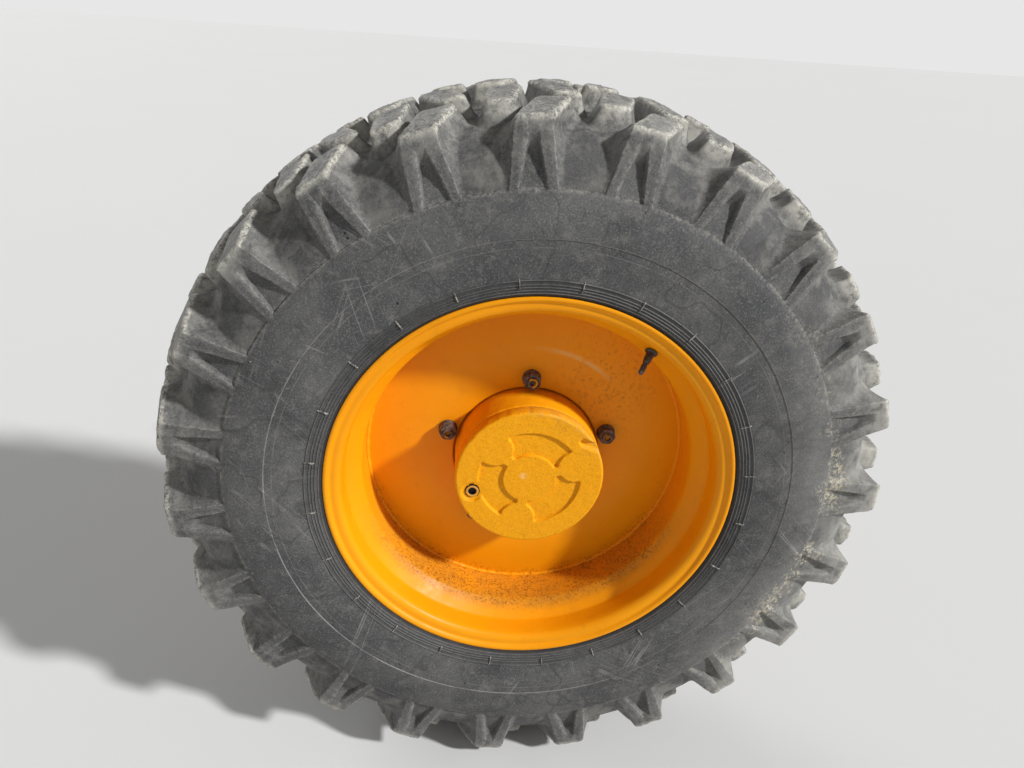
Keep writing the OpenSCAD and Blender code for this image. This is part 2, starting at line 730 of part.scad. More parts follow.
module inner_yoke() {
    color(steel) at_kingpin() {
        rotate([0, 90, 0]) rotate([0, 0, 180]) ear_pair();
        rotate([-90, 0, 0]) translate([0, 0, yoke_neck]) cylinder(r = yoke_hub, h = 22, $fn = 48);
        rotate([-90, 0, 0]) translate([0, 0, yoke_neck])
            cylinder(r = shaft_radius, h = arm_length - yoke_neck - 50, $fn = 48);
        rotate([-90, 0, 0]) translate([0, 0, arm_length - 60])
            cylinder(r = shaft_radius + 2, h = 90, $fn = 48);
    }
}

fork_eye = kingpin_radius + 20;
bush_wall = 4;
base_y = 62;
base_depth = 34;
module fork_arm() {
    difference() {
        union() {
            cylinder(r = fork_eye, h = fork_thickness, $fn = 64);
            translate([-fork_eye, 0, 0]) cube([2 * fork_eye, base_y + 2, fork_thickness]);
        }
        translate([0, 0, -1]) cylinder(r = kingpin_radius + bush_wall, h = fork_thickness + 2, $fn = 64);
    }
}
stop_gap = 2;
stop_tip_y = stop_boss_y + stop_screw_out;
// Where a stop screw's tip comes to at full lock, with the gap left before it
function stop_pad_y(lock) = (stop_x + stop_screw) * sin(lock) + stop_tip_y * cos(lock) + stop_gap;
arm_rib = 16;
arm_rib_start = 250;
gusset = 24;
gusset_length = 110;
module arm_ribs() {
    for (turn = [0 : 90 : 270]) rotate([0, turn, 0]) rotate([90, 0, 90]) linear_extrude(arm_rib, center = true)
        polygon([[arm_length - arm_rib_start, arm_radius - 6], [arm_length - arm_rib_start, arm_radius],
            [arm_length - flange_thickness - 4, flange_circle - flange_hole - 11],
            [arm_length - flange_thickness - 4, arm_radius]]);
    for (m = [0, 1]) mirror([0, 0, m]) rotate([90, 0, 90]) linear_extrude(gusset, center = true)
        polygon([[base_y + base_depth - 4, arm_radius - 6], [base_y + base_depth - 4, fork_half],
            [base_y + base_depth + gusset_length, arm_radius + 1], [base_y + base_depth + gusset_length, arm_radius - 6]]);
    for (m = [0, 1]) mirror([m, 0, 0]) linear_extrude(gusset, center = true)
        polygon([[arm_radius - 6, base_y + base_depth - 4], [stop_x + 8, base_y + base_depth - 4],
            [arm_radius + 1, base_y + base_depth + gusset_length], [arm_radius - 6, base_y + base_depth + gusset_length]]);
}
module axle_arm() {
    color(yellow) at_kingpin() difference() {
        union() {
            arm_ribs();
            translate([0, 0, fork_half - fork_thickness]) fork_arm();
            mirror([0, 0, 1]) translate([0, 0, fork_half - fork_thickness]) fork_arm();
            // Base of the fork, and the round arm that widens to its flange
            translate([-fork_eye, base_y, -fork_half]) cube([2 * fork_eye, base_depth, 2 * fork_half]);
            translate([-stop_x - 14, base_y, -20]) cube([2 * stop_x + 28, base_depth, 40]);
            translate([stop_x, base_y + 2, 0]) rotate([90, 0, 0])
                cylinder(r = 13, h = base_y + 2 - stop_pad_y(lock_left), $fn = 32);
            translate([-stop_x, base_y + 2, 0]) rotate([90, 0, 0])
                cylinder(r = 13, h = base_y + 2 - stop_pad_y(lock_right), $fn = 32);
            rotate([-90, 0, 0]) rotate_extrude($fn = 96)
                polygon([
                    [0, base_y + 10], [arm_radius + 14, base_y + 10], [arm_radius + 12, base_y + base_depth + 8],
                    [arm_radius, base_y + base_depth + 50], [arm_radius, arm_length - 170],
                    [arm_radius + 12, arm_length - 100], [arm_radius + 36, arm_length - flange_thickness - 10],
                    [flange_radius, arm_length - flange_thickness], [flange_radius, arm_length], [0, arm_length]]);
        }
        rotate([-90, 0, 0]) translate([0, 0, base_y - 5]) cylinder(r = arm_bore, h = arm_length, $fn = 96);
        for (i = [0 : flange_holes - 1]) rotate([0, i * 360 / flange_holes, 0])
            translate([0, arm_length - flange_thickness - 12, flange_circle]) rotate([-90, 0, 0])
                cylinder(r = flange_hole, h = flange_thickness + 20, $fn = 32);
    }
}

module bushes() {
    color(steel) at_kingpin() for (m = [0, 1]) mirror([0, 0, m])
        translate([0, 0, fork_half]) difference() {
            union() {
                translate([0, 0, -fork_thickness]) cylinder(r = kingpin_radius + bush_wall - fit, h = fork_thickness, $fn = 64);
                cylinder(r = kingpin_radius + 14, h = arm_inner - fork_half - seat, $fn = 64);
            }
            translate([0, 0, -fork_thickness - 1]) cylinder(r = kingpin_radius + fit, h = fork_thickness + 12, $fn = 64);
        }
}

module shaft_seal() {
    color(black) at_kingpin() rotate([-90, 0, 0]) translate([0, 0, base_y + 12]) difference() {
        cylinder(r = arm_bore - fit, h = 12, $fn = 96);
        translate([0, 0, -1]) cylinder(r = shaft_radius + fit, h = 14, $fn = 48);
    }
}

tyre();
rim();
wheel_disc();
wheel_nuts();
wheel_studs();
valve_stem();
hub();
end_cover();
level_plug();
hub_seal();
spindle();
spindle_bolts();
knuckle();
kingpin_upper();
kingpin_lower();
kingpin_bolts();
steering_arm();
steering_arm_bolts();
stop_screws();
outer_yoke();
joint_cross();
inner_yoke();
axle_arm();
bushes();
shaft_seal();
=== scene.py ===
from math import atan2, cos, hypot, pi, radians, sin, tan
import bmesh
import bpy
from mathutils import Matrix, Vector, noise


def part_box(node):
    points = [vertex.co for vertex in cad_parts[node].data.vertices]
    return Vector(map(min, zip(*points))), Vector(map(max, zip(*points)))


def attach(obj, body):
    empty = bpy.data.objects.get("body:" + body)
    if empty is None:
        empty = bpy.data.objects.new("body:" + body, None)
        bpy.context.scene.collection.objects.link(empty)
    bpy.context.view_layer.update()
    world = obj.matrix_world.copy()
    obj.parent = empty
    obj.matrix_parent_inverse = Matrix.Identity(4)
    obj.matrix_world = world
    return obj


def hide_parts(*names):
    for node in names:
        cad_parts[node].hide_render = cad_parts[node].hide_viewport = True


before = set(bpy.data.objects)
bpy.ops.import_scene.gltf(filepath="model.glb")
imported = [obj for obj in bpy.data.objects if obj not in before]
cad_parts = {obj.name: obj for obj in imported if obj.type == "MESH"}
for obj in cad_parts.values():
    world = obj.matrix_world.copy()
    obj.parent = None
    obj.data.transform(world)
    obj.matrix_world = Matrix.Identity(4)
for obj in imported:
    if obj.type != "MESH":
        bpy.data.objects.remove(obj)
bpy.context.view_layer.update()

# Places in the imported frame. Lengths in the tables below are millimetres; w counts from the rim's
# outer edge inboard, and an angle counts clockwise from the top as seen from outside.
MM = 0.001
rim_low, rim_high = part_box("rim")
EDGE_Y = rim_low[1]
WHEEL_Y = (rim_low[1] + rim_high[1]) / 2
HALF = (WHEEL_Y - EDGE_Y) / MM
FLOOR_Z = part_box("tyre")[0][2]
COVER_W = (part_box("end_cover")[0][1] - EDGE_Y) / MM
FULL_TURN = 2 * pi

# The noise takes its seed from the time unless it is given one
NOISE_SEED = 5
noise.seed_set(NOISE_SEED)

# Ridges above the bead as (middle, half width, height), and the step half-way up the sidewall
RIDGES = ((388, 1.5, 1.5), (393.5, 1.3, 1.5), (399, 1.3, 1.5), (404, 1.3, 1.4), (412, 1.6, 1.7))
LINE_R = 482.0
FAINT_LINE_R = 468.0
LUG_LINE_R = 559.0


def spot(r, angle, w, inner=False):
    """The point at a radius, an angle and a distance from the rim's edge; inner mirrors it."""
    along = HALF - w if inner else w - HALF
    return (r * sin(angle) * MM, WHEEL_Y + along * MM, r * cos(angle) * MM)


def turns(count):
    """The angles of so many even steps round a circle."""
    return [FULL_TURN * i / count for i in range(count)]


def between(a, b, t):
    return a + (b - a) * t


def curve_at(keys, t):
    """A smooth curve through the keys at the whole numbers of t."""
    last = len(keys) - 1
    i = min(int(t), last - 1)
    f = t - i
    before = keys[max(i - 1, 0)]
    after = keys[min(i + 2, last)]
    result = []
    for p0, p1, p2, p3 in zip(before, keys[i], keys[i + 1], after):
        m1 = (p2 - p0) / 2
        m2 = (p3 - p1) / 2
        result.append((2 * f**3 - 3 * f**2 + 1) * p1 + (f**3 - 2 * f**2 + f) * m1
                      + (3 * f**2 - 2 * f**3) * p2 + (f**3 - f**2) * m2)
    return result


def value_at(table, x):
    """Straight lines through (x, value) pairs."""
    if x <= table[0][0]:
        return table[0][1]
    for (x0, y0), (x1, y1) in zip(table, table[1:]):
        if x <= x1:
            return between(y0, y1, (x - x0) / (x1 - x0))
    return table[-1][1]


def add_object(name, data):
    made = bpy.data.objects.new(name, data)
    bpy.context.scene.collection.objects.link(made)
    return made


def add_piece(name, build, body, material, replaces=(), masked=False, sharp=35):
    """A piece from what a Builder holds; edges of more than so many degrees stay sharp."""
    mesh = bpy.data.meshes.new(name)
    mesh.from_pydata(build.verts, [], build.faces)
    mesh.validate()
    solid = bmesh.new()
    solid.from_mesh(mesh)
    bmesh.ops.recalc_face_normals(solid, faces=solid.faces)
    solid.to_mesh(mesh)
    solid.free()
    mesh.materials.append(material)
    for face in mesh.polygons:
        face.use_smooth = True
    if masked:
        layer = mesh.attributes.new("mask", "FLOAT_COLOR", "POINT")
        layer.data.foreach_set("color", [c for mask in build.masks for c in (*mask, 1.0)])
    mesh.set_sharp_from_angle(angle=radians(sharp))
    piece = add_object(name, mesh)
    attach(piece, body)
    if replaces:
        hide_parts(*replaces)


class Builder:
    """Collects points, faces and mask values of one mesh."""

    def __init__(self):
        self.verts = []
        self.faces = []
        self.masks = []

    def ring(self, points, mask=(0, 0, 0)):
        start = len(self.verts)
        self.verts.extend(points)
        self.masks.extend([mask] * len(points))
        return list(range(start, start + len(points)))

    def join(self, a, b, flip=False):
        n = len(a)
        for i in range(n):
            j = (i + 1) % n
            face = (a[i], a[j], b[j], b[i])
            self.faces.append(face[::-1] if flip else face)

    def skin(self, rings, flip=False):
        """Joins each ring to the next one."""
        for a, b in zip(rings, rings[1:]):
            self.join(a, b, flip)

    def fan_join(self, coarse, fine, flip=False):
        """Joins a ring to one that has a whole number of times as many points."""
        n = len(coarse)
        k = len(fine) // n
        for i in range(n):
            part = [fine[(i * k + m) % len(fine)] for m in range(k, -1, -1)]
            face = (coarse[i], coarse[(i + 1) % n], *part)
            self.faces.append(face[::-1] if flip else face)

    def cap(self, ring, flip=False):
        self.faces.append(tuple(ring[::-1]) if flip else tuple(ring))


def revolve(build, outline, segments):
    """A body of revolution about the axle from a closed outline of (r, w) points."""
    rings = []
    for r, w in outline:
        rings.append(build.ring([spot(r, turn, w) for turn in turns(segments)]))
    build.skin(rings + rings[:1])


def rounded(points, radii, steps):
    """An open outline with its inner corners rounded, each by a radius of its own."""
    result = [points[0]]
    for before, here, after, radius in zip(points, points[1:], points[2:], radii):
        corner = Vector(here)
        to_before = Vector(before) - corner
        to_after = Vector(after) - corner
        size = min(radius, to_before.length * 0.49, to_after.length * 0.49)
        start = corner + to_before.normalized() * size
        end = corner + to_after.normalized() * size
        for k in range(steps + 1):
            t = k / steps
            p = start * (1 - t) ** 2 + corner * (2 * t * (1 - t)) + end * t * t
            result.append((p.x, p.y))
    result.append(points[-1])
    return result


# Materials

def feed(node, inputs):
    """Links or sets inputs of a node."""
    for key, value in inputs.items():
        socket = node.inputs[key]
        if isinstance(value, bpy.types.NodeSocket):
            socket.id_data.links.new(value, socket)
        else:
            socket.default_value = value


def add_node(tree, kind, inputs=None, **settings):
    made = tree.nodes.new("ShaderNode" + kind)
    for key, value in settings.items():
        setattr(made, key, value)
    feed(made, inputs or {})
    return made


class Shader:
    """A material and short calls for the nodes that it uses."""

    def __init__(self, name):
        self.material = bpy.data.materials.new(name)
        self.material.use_nodes = True
        self.tree = self.material.node_tree
        self.surface = self.tree.nodes["Principled BSDF"]
        coords = self.node("TexCoord")
        self.place = coords.outputs["Object"]
        self.facing = coords.outputs["Normal"]

    def node(self, kind, inputs=None, **settings):
        return add_node(self.tree, kind, inputs, **settings)

    def math(self, operation, a, b=0.0):
        return self.node("Math", {0: a, 1: b}, operation=operation).outputs[0]

    def times(self, *values):
        result = values[0]
        for value in values[1:]:
            result = self.math("MULTIPLY", result, value)
        return result

    def noise(self, scale, detail, rough, at=None):
        made = self.node("TexNoise", {
            "Vector": at or self.place, "Scale": scale, "Detail": detail, "Roughness": rough})
        return made.outputs["Fac"]

    def span(self, value, low, high, out_low=0.0, out_high=1.0):
        """A smooth step from one level to another; low may lie above high."""
        made = self.node("MapRange", {
            "Value": value, "From Min": low, "From Max": high, "To Min": out_low, "To Max": out_high},
            interpolation_type="SMOOTHSTEP")
        return made.outputs["Result"]

    def band(self, value, middle, half_width):
        """One at the middle value, falling to nothing on both sides of it."""
        away = self.math("ABSOLUTE", self.math("SUBTRACT", value, middle))
        return self.span(away, half_width, 0.0)

    def grain(self, scale, detail, rough, *levels):
        """Noise as a smooth step; the levels are those of span."""
        return self.span(self.noise(scale, detail, rough), *levels)

    def mix(self, share, a, b):
        a, b = ((*color, 1) if isinstance(color, tuple) else color for color in (a, b))
        return self.node("Mix", {0: share, 6: a, 7: b}, data_type="RGBA").outputs[2]

    def base(self, share, a, b):
        self.color = self.mix(share, a, b)

    def lay(self, tint, *shares):
        """Lays a tint over the colour so far by the product of the shares."""
        self.color = self.mix(self.times(*shares), self.color, tint)

    def cells(self, scale):
        return self.node("TexVoronoi", {"Vector": self.place, "Scale": scale}).outputs["Distance"]

    def stretched(self, turn, size, shift=0.0):
        """The place in a frame that is turned and then divided by a size along each of its axes."""
        inputs = {"Vector": self.place, "Location": (shift, shift, shift), "Rotation": turn, "Scale": size}
        return self.node("Mapping", inputs, vector_type="TEXTURE").outputs[0]

    def near(self, point, inner, outer):
        """One within a distance of a point, falling to nothing at a larger one."""
        away = self.node("VectorMath", {0: self.place, 1: point}, operation="DISTANCE")
        return self.span(away.outputs["Value"], outer, inner)

    def polar(self):
        """Radius and angle about the axle, and the places along it and upwards."""
        x, y, z = self.node("SeparateXYZ", {0: self.place}).outputs
        r = self.math("SQRT", self.math("ADD", self.times(x, x), self.times(z, z)))
        return r, self.math("ARCTAN2", x, z), y, z

    def bump(self, height, distance, strength, under=None):
        inputs = {"Height": height, "Distance": distance, "Strength": strength}
        if under is not None:
            inputs["Normal"] = under
        return self.node("Bump", inputs).outputs[0]

    def finish(self, rough, normal=None, metallic=0.0, specular=0.5):
        feed(self.surface, {"Base Color": self.color, "Roughness": rough, "Metallic": metallic,
                            "Specular IOR Level": specular})
        if normal is not None:
            feed(self.surface, {"Normal": normal})
        return self.material


# Directions of the long scratches on the sidewall, in radians
SCRATCHES = (0.35, 0.8, 1.35, 2, 2.4, 2.85)


def sidewall_marks(s, r):
    """Scratches in patches of their own, painted shade on the bead towards the rim's flange, and pale
    crests of ridges and step that are partly wear and partly a painted highlight.
    """
    below_lugs = s.span(r, 0.590, 0.566)
    for number, turn in enumerate(SCRATCHES):
        along_line = s.stretched((0, turn, 0), (0.020, 0.6, 1.1), 0.3 * number)
        line = s.band(s.noise(1.0, 1.0, 0.4, along_line), 0.5, 0.015)
        in_patch = s.stretched((0, turn, 0), (0.8, 1, 1.6), 1.7 + number)
        patch = s.span(s.noise(4.2, 4, 0.7, in_patch), 0.58, 0.67)
        s.lay((0.34, 0.33, 0.32), line, patch, below_lugs, 0.50)
    # Painted shade: the bead darkens towards the rim's flange, darkest in the gap against it
    s.lay((0.030, 0.030, 0.031), s.span(r, 0.418, 0.411), 0.45)
    s.lay((0.010, 0.010, 0.010), s.span(r, 0.389, 0.384), 0.8)
    # Pale crests of the ridges, the step and a faint line: scuffed rubber and a painted highlight
    worn = s.grain(18, 4, 0.7, 0.34, 0.6, 0.15, 0.8)
    faint_line = s.times(s.band(r, FAINT_LINE_R * MM, 0.0013), 0.5)
    crest = s.math("MAXIMUM", s.band(r, LINE_R * MM, 0.0016), faint_line)
    for middle, half_width, _ in RIDGES:
        ridge = s.times(s.band(r, middle * MM, half_width * MM * 0.8), 0.7)
        crest = s.math("MAXIMUM", crest, ridge)
    s.lay((0.30, 0.29, 0.27), crest, worn, 0.75)


def dust_mud_and_painted_light(s, r, angle, top, valley):
    """Painted shade and dust in the valleys, dust on the lugs, mud thrown up at the front of the wheel, and
    a painted highlight on faces that look sideways.
    """
    # Painted shade: what the valley mask holds is darkened, the valleys, the lugs' lower flanks, the
    # notches' floors and the blocks' feet
    s.lay((0.035, 0.035, 0.037), valley, 0.4)
    s.lay((0.235, 0.225, 0.20), valley, s.grain(15, 5, 0.7, 0.42, 0.66), 0.6)
    front = s.times(s.span(angle, 0.7, 1.5), s.span(angle, 2.7, 2.1))
    film = s.times(front, s.span(r, 0.40, 0.62), s.grain(9, 6, 0.75, 0.25, 0.75))
    s.lay((0.27, 0.265, 0.248), film, 0.75)
    # The lugs' ends are dustier towards the tread
    ends = s.times(s.span(r, 0.585, 0.66), s.grain(30, 6, 0.76, 0.40, 0.64))
    s.lay((0.30, 0.29, 0.265), ends, 0.45)
    s.lay((0.42, 0.40, 0.36), ends, front, 0.5)
    lug_line = s.band(r, (LUG_LINE_R + 8) * MM, 0.055)
    muddy = s.times(front, lug_line, s.grain(13, 4, 0.7, 0.45, 0.60))
    flecks = s.times(muddy, s.grain(140, 4, 0.75, 0.50, 0.58))
    s.lay((0.56, 0.50, 0.36), flecks, 0.8)
    fine_dust = s.grain(160, 6, 0.8, 0.36, 0.62, 0.25, 1.0)
    dust = s.times(top, fine_dust, s.grain(26, 6, 0.72, 0.36, 0.56))
    s.lay((0.38, 0.368, 0.336), dust, 0.68)
    # Painted highlight in pale, mud-coloured patches on the faces that look sideways, above the carcass
    sideways = s.math("ABSOLUTE", s.node("SeparateXYZ", {0: s.facing}).outputs[1])
    above = s.times(s.span(sideways, 0.30, 0.75), s.span(r, 0.652, 0.670))
    sideways_highlight = s.times(above, s.grain(50, 6, 0.78, 0.34, 0.58))
    s.lay((0.52, 0.50, 0.44), sideways_highlight, 0.65)


def wear_and_highlights(s, top, edge):
    """Chipped pale edges, whose tint is also the painted highlight on the lug line's step and on the
    sidewall's short ribs, and dark hollows and cracks in the lugs' worn faces.
    """
    s.lay((0.64, 0.61, 0.53), edge, s.grain(130, 5, 0.78, 0.40, 0.60), 0.9)
    patches = s.grain(20, 5, 0.75, 0.42, 0.58, 0.15, 1.0)
    worn_face = s.math("MAXIMUM", top, edge)
    hollow = s.times(worn_face, s.grain(105, 6, 0.82, 0.53, 0.62), patches)
    s.lay((0.04, 0.04, 0.04), hollow, 0.85)
    vein = s.band(s.noise(40, 4, 0.72), 0.5, 0.020)
    crack = s.times(worn_face, vein, s.grain(12, 3, 0.6, 0.44, 0.54))
    s.lay((0.022, 0.022, 0.022), crack, 0.85)


def tyre_material():
    s = Shader("tyre_rubber")
    r, angle = s.polar()[:2]
    mask = s.node("Attribute", attribute_name="mask").outputs["Color"]
    top, edge, valley = s.node("SeparateColor", {0: mask}).outputs[:3]
    mottle = s.noise(42, 6, 0.72)
    speck = s.noise(330, 4, 0.78)
    s.base(s.grain(6, 5, 0.62, 0.33, 0.67), (0.052, 0.053, 0.056), (0.104, 0.104, 0.102))
    s.lay((0.21, 0.202, 0.184), s.span(mottle, 0.50, 0.70), 0.42)
    s.lay((0.032, 0.032, 0.034), s.span(mottle, 0.47, 0.32), 0.42)
    s.lay((0.30, 0.29, 0.27), s.span(speck, 0.52, 0.66), 0.42)
    s.lay((0.024, 0.024, 0.025), s.span(speck, 0.46, 0.33), 0.55)
    tide_line = s.band(s.noise(4.5, 3, 0.5), 0.5, 0.010)
    s.lay((0.035, 0.034, 0.033), tide_line, 0.45)
    sidewall_marks(s, r)
    pit = s.span(s.cells(17), 0.045, 0.028)
    s.lay((0.008, 0.008, 0.008), pit)
    dust_mud_and_painted_light(s, r, angle, top, valley)
    wear_and_highlights(s, top, edge)
    rough = s.span(mottle, 0.3, 0.7, 0.55, 0.8)
    pits = s.times(s.math("SUBTRACT", 1.0, pit), speck)
    normal = s.bump(mottle, 0.0022, 0.45, s.bump(pits, 0.0010, 0.6))
    return s.finish(rough, normal, specular=0.35)


# Tone of the paint on the cover and on the hub's drum
YELLOWER = (0.88, 0.385, 0.002)


# What lies on the paint: dirt and wear over the colour so far, and on the disc a painted reflection

def rim_dirt(s, r, angle, y, z):
    """Rust specks that lie in the well, thickest at the bottom."""
    well = s.times(s.span(r, 0.338, 0.322), s.span(z, -0.04, -0.24))
    s.lay((0.46, 0.205, 0.026), well, s.grain(16, 5, 0.7, 0.30, 0.62, 0.25, 0.6))
    fine = s.grain(200, 5, 0.85, 0.47, 0.60)
    specks = s.times(fine, s.grain(26, 5, 0.75, 0.36, 0.58, 0.35, 1.0))
    s.lay((0.20, 0.068, 0.010), well, specks, 0.85)


def disc_dirt_and_highlight(s, r, angle, y, z):
    """A darker speckled patch at the upper right, specks along the lower edge, and a pale arc that is a
    painted reflection on the dished disc.
    """
    # Darker and speckled towards the upper right
    upper_right = s.near((0.15, EDGE_Y + 0.152, 0.16), 0.03, 0.16)
    dark_patch = s.times(upper_right, s.grain(120, 6, 0.8, 0.50, 0.64))
    s.lay((0.14, 0.055, 0.012), dark_patch, 0.40)
    low_edge = s.times(s.span(r, 0.285, 0.316), s.span(z, 0.0, -0.16))
    fine = s.grain(200, 5, 0.85, 0.49, 0.60)
    specks = s.times(fine, s.grain(26, 5, 0.75, 0.36, 0.58, 0.3, 1.0))
    s.lay((0.18, 0.06, 0.010), low_edge, specks, 0.7)
    # Painted reflection: a pale arc where the dished disc catches the light, broken up by noise
    reflection_arc = s.times(s.band(r, 0.226, 0.008), s.span(angle, -0.1, 0.4), s.span(angle, 0.80, 0.62))
    s.lay((0.86, 0.54, 0.17), reflection_arc, s.grain(60, 5, 0.7, 0.34, 0.52), 0.75)


def cover_wear(s, r, angle, y, z):
    """Bare, pale scuffs and turned marks along the upper right rim, and one worn dot."""
    s.lay(YELLOWER, 0.6)
    speck = s.noise(330, 4, 0.75)
    s.lay((0.40, 0.13, 0.003), s.span(speck, 0.50, 0.30), 0.55)
    s.lay((0.98, 0.52, 0.03), s.span(speck, 0.52, 0.72), 0.45)
    side = s.times(s.span(angle, -0.35, 0.2), s.span(angle, 1.45, 1.0))
    turned_lines = s.band(s.math("FRACT", s.times(r, 260.0)), 0.5, 0.35)
    marks = s.times(s.span(r, 0.106, 0.116), turned_lines, side)
    s.lay((0.42, 0.20, 0.03), marks, s.grain(40, 4, 0.7, 0.45, 0.62), 0.4)
    bare = s.times(s.span(r, 0.1300, 0.1395), side, s.grain(150, 6, 0.8, 0.46, 0.58))
    s.lay((0.66, 0.40, 0.075), bare, 0.75)
    middle = s.near((-0.012, EDGE_Y + COVER_W * MM, 0.007), 0.003, 0.010)
    s.lay((0.96, 0.60, 0.25), middle, s.grain(200, 3, 0.6, 0.35, 0.6), 0.6)


def cast_dirt(s, r, angle, y, z):
    """Oily grime and road dust on the castings behind the wheel."""
    behind = s.span(y, -0.74, -0.70)
    s.lay(YELLOWER, s.span(behind, 1.0, 0.0, 0.0, 0.6))
    joints = s.near((0, -0.525, 0), 0.12, 0.30)
    oil = s.times(s.grain(13, 6, 0.75, 0.46, 0.66), behind, s.span(joints, 0.0, 1.0, 0.25, 0.85))
    s.lay((0.065, 0.040, 0.022), oil)
    s.lay((0.33, 0.23, 0.12), s.grain(70, 6, 0.78, 0.50, 0.66), behind, 0.5)


def paint_material(name, dirt_and_highlight, cast=False):
    s = Shader(name)
    places = s.polar()
    s.base(s.grain(4, 4, 0.6, 0.3, 0.7), (0.83, 0.300, 0.0015), (0.89, 0.338, 0.002))
    specks = s.times(s.grain(160, 5, 0.75, 0.63, 0.69), s.grain(9, 4, 0.6, 0.5, 0.68))
    s.lay((0.16, 0.055, 0.010), specks, 0.7)
    s.lay((0.48, 0.19, 0.008), s.grain(20, 6, 0.72, 0.54, 0.80), 0.30)
    dirt_and_highlight(s, *places)
    if cast:
        rough = s.grain(60, 4, 0.6, 0.3, 0.7, 0.5, 0.7)
        lumps = s.bump(s.noise(300, 4, 0.65), 0.0012, 0.7)
        normal = s.bump(s.noise(45, 3, 0.5), 0.0022, 0.35, lumps)
    else:
        rough = s.grain(30, 4, 0.6, 0.3, 0.7, 0.36, 0.52)
        normal = s.bump(s.noise(260, 3, 0.5), 0.0004, 0.35)
    return s.finish(rough, normal, specular=0.18)


def plug_material():
    s = Shader("plug_steel")
    y = s.polar()[2]
    # Painted shade: below the plug's face the socket is coloured near black
    inside = s.span(y, EDGE_Y + 0.0512, EDGE_Y + 0.0502)
    face = s.mix(s.grain(140, 4, 0.7, 0.42, 0.6), (0.80, 0.33, 0.01), (0.52, 0.26, 0.07))
    s.base(inside, (0.012, 0.010, 0.010), face)
    normal = s.bump(s.noise(300, 3, 0.6), 0.0005, 0.5)
    return s.finish(0.6, normal)


def rusty_material(name, painted=False):
    s = Shader(name)
    tone = s.noise(110, 5, 0.75)
    s.base(s.span(tone, 0.38, 0.62), (0.042, 0.032, 0.032), (0.205, 0.150, 0.130))
    if painted:
        s.lay((0.60, 0.27, 0.01), s.grain(75, 2, 0.5, 0.52, 0.58))
    pits = s.bump(s.noise(400, 4, 0.65), 0.0008, 0.7)
    return s.finish(s.span(tone, 0.3, 0.7, 0.55, 0.8), pits, metallic=0.2, specular=0.35)


def steel_material():
    s = Shader("worn_steel")
    tone = s.noise(40, 5, 0.7)
    rust = s.grain(22, 6, 0.72, 0.47, 0.62)
    s.base(s.span(tone, 0.3, 0.7), (0.34, 0.33, 0.32), (0.54, 0.53, 0.51))
    s.lay((0.17, 0.072, 0.030), rust, 0.85)
    metal = s.span(rust, 0.0, 1.0, 0.9, 0.15)
    along = s.stretched((0, 0, 0), (0.0011, 0.03, 0.0011))
    lines = s.bump(s.noise(1.0, 3, 0.6, along), 0.0003, 0.4)
    return s.finish(s.span(tone, 0.3, 0.7, 0.35, 0.62), lines, metallic=metal)


def dark_material(name, color_a, color_b, rough_a, rough_b):
    s = Shader(name)
    tone = s.noise(70, 5, 0.65)
    s.base(s.span(tone, 0.35, 0.7), color_a, color_b)
    normal = s.bump(s.noise(500, 3, 0.6), 0.0004, 0.5)
    return s.finish(s.span(tone, 0.3, 0.7, rough_a, rough_b), normal)


TYRE = tyre_material()
RIM_PAINT = paint_material("rim_paint", rim_dirt)
DISC_PAINT = paint_material("disc_paint", disc_dirt_and_highlight)
COVER_PAINT = paint_material("cover_paint", cover_wear, cast=True)
CAST_PAINT = paint_material("cast_paint", cast_dirt, cast=True)
RUSTY = rusty_material("rusty_nuts")
STEEL = steel_material()
RUBBER = dark_material("seal_rubber", (0.028, 0.028, 0.028), (0.06, 0.058, 0.055), 0.6, 0.85)
VALVE_RUBBER = dark_material("valve_rubber", (0.022, 0.021, 0.022), (0.09, 0.085, 0.08), 0.35, 0.6)
STUD_END = rusty_material("stud_ends", painted=True)
PLUG_STEEL = plug_material()


# Tyre. A lug's section is worked out once per row and copied round the tread. Each row pairs a
# point in the valley with a point on the lug, both (r, w).
LUGS = 23
PITCH = FULL_TURN / LUGS
LUG_TURN = radians(11.7)
ROW_KEYS = [
    (558.8, -0.3, 559, -3.9), (572, 2.5, 575, -2.2), (588, 8, 595, 0), (603, 15, 615, 2.1),
    (617, 24, 635, 4.3), (629, 35, 655, 6.5), (634, 41, 664, 7.5), (637, 45, 668.3, 9.5),
    (643, 55, 671.5, 14), (646, 62, 674.2, 25), (649.5, 72, 678.3, 40), (652, 82, 683.3, 60),
    (653.3, 88, 686.8, 76), (654.6, 95, 687.5, 83), (655.4, 100, 684, 88), (655.8, 102, 664, 92),
    (656.2, 105, 657.5, 98), (657, 118, 657, 118), (657.8, 145, 657.8, 145),
    (658.2, 175, 658.2, 175), (658.3, 203.5, 658.3, 203.5)]
ROW_STEPS = [
    0, 0.25, 0.6, 1, 1.35, 1.7, 2, 2.35, 2.7, 2.95, 3.1, 3.3, 3.55, 3.8, 4.05, 4.25, 4.4, 4.5, 4.7, 5, 5.5,
    6, 6.5, 7, 7.5, 8, 8.35, 8.7, 9, 9.5, 10, 10.5, 11, 11.5, 12, 12.5, 13, 13.35, 13.7, 14, 14.3, 14.65,
    15, 15.5, 16, 17, 18, 19, 20]
# Rows up to which the lug's end is notched, about which it turns into its top, of the top itself,
# and at both ends of the sheet that stay smooth
NOTCH_ROWS = 5
CORNER_ROW = 6.8
CORNER_SPREAD = 1.2
WEAR_SPREAD = 1.8
TOP_ROWS = (7.5, 14)
CRISP_ROWS = 4
CRISP_WEAR = 0.02
SEAM_ROWS = 5

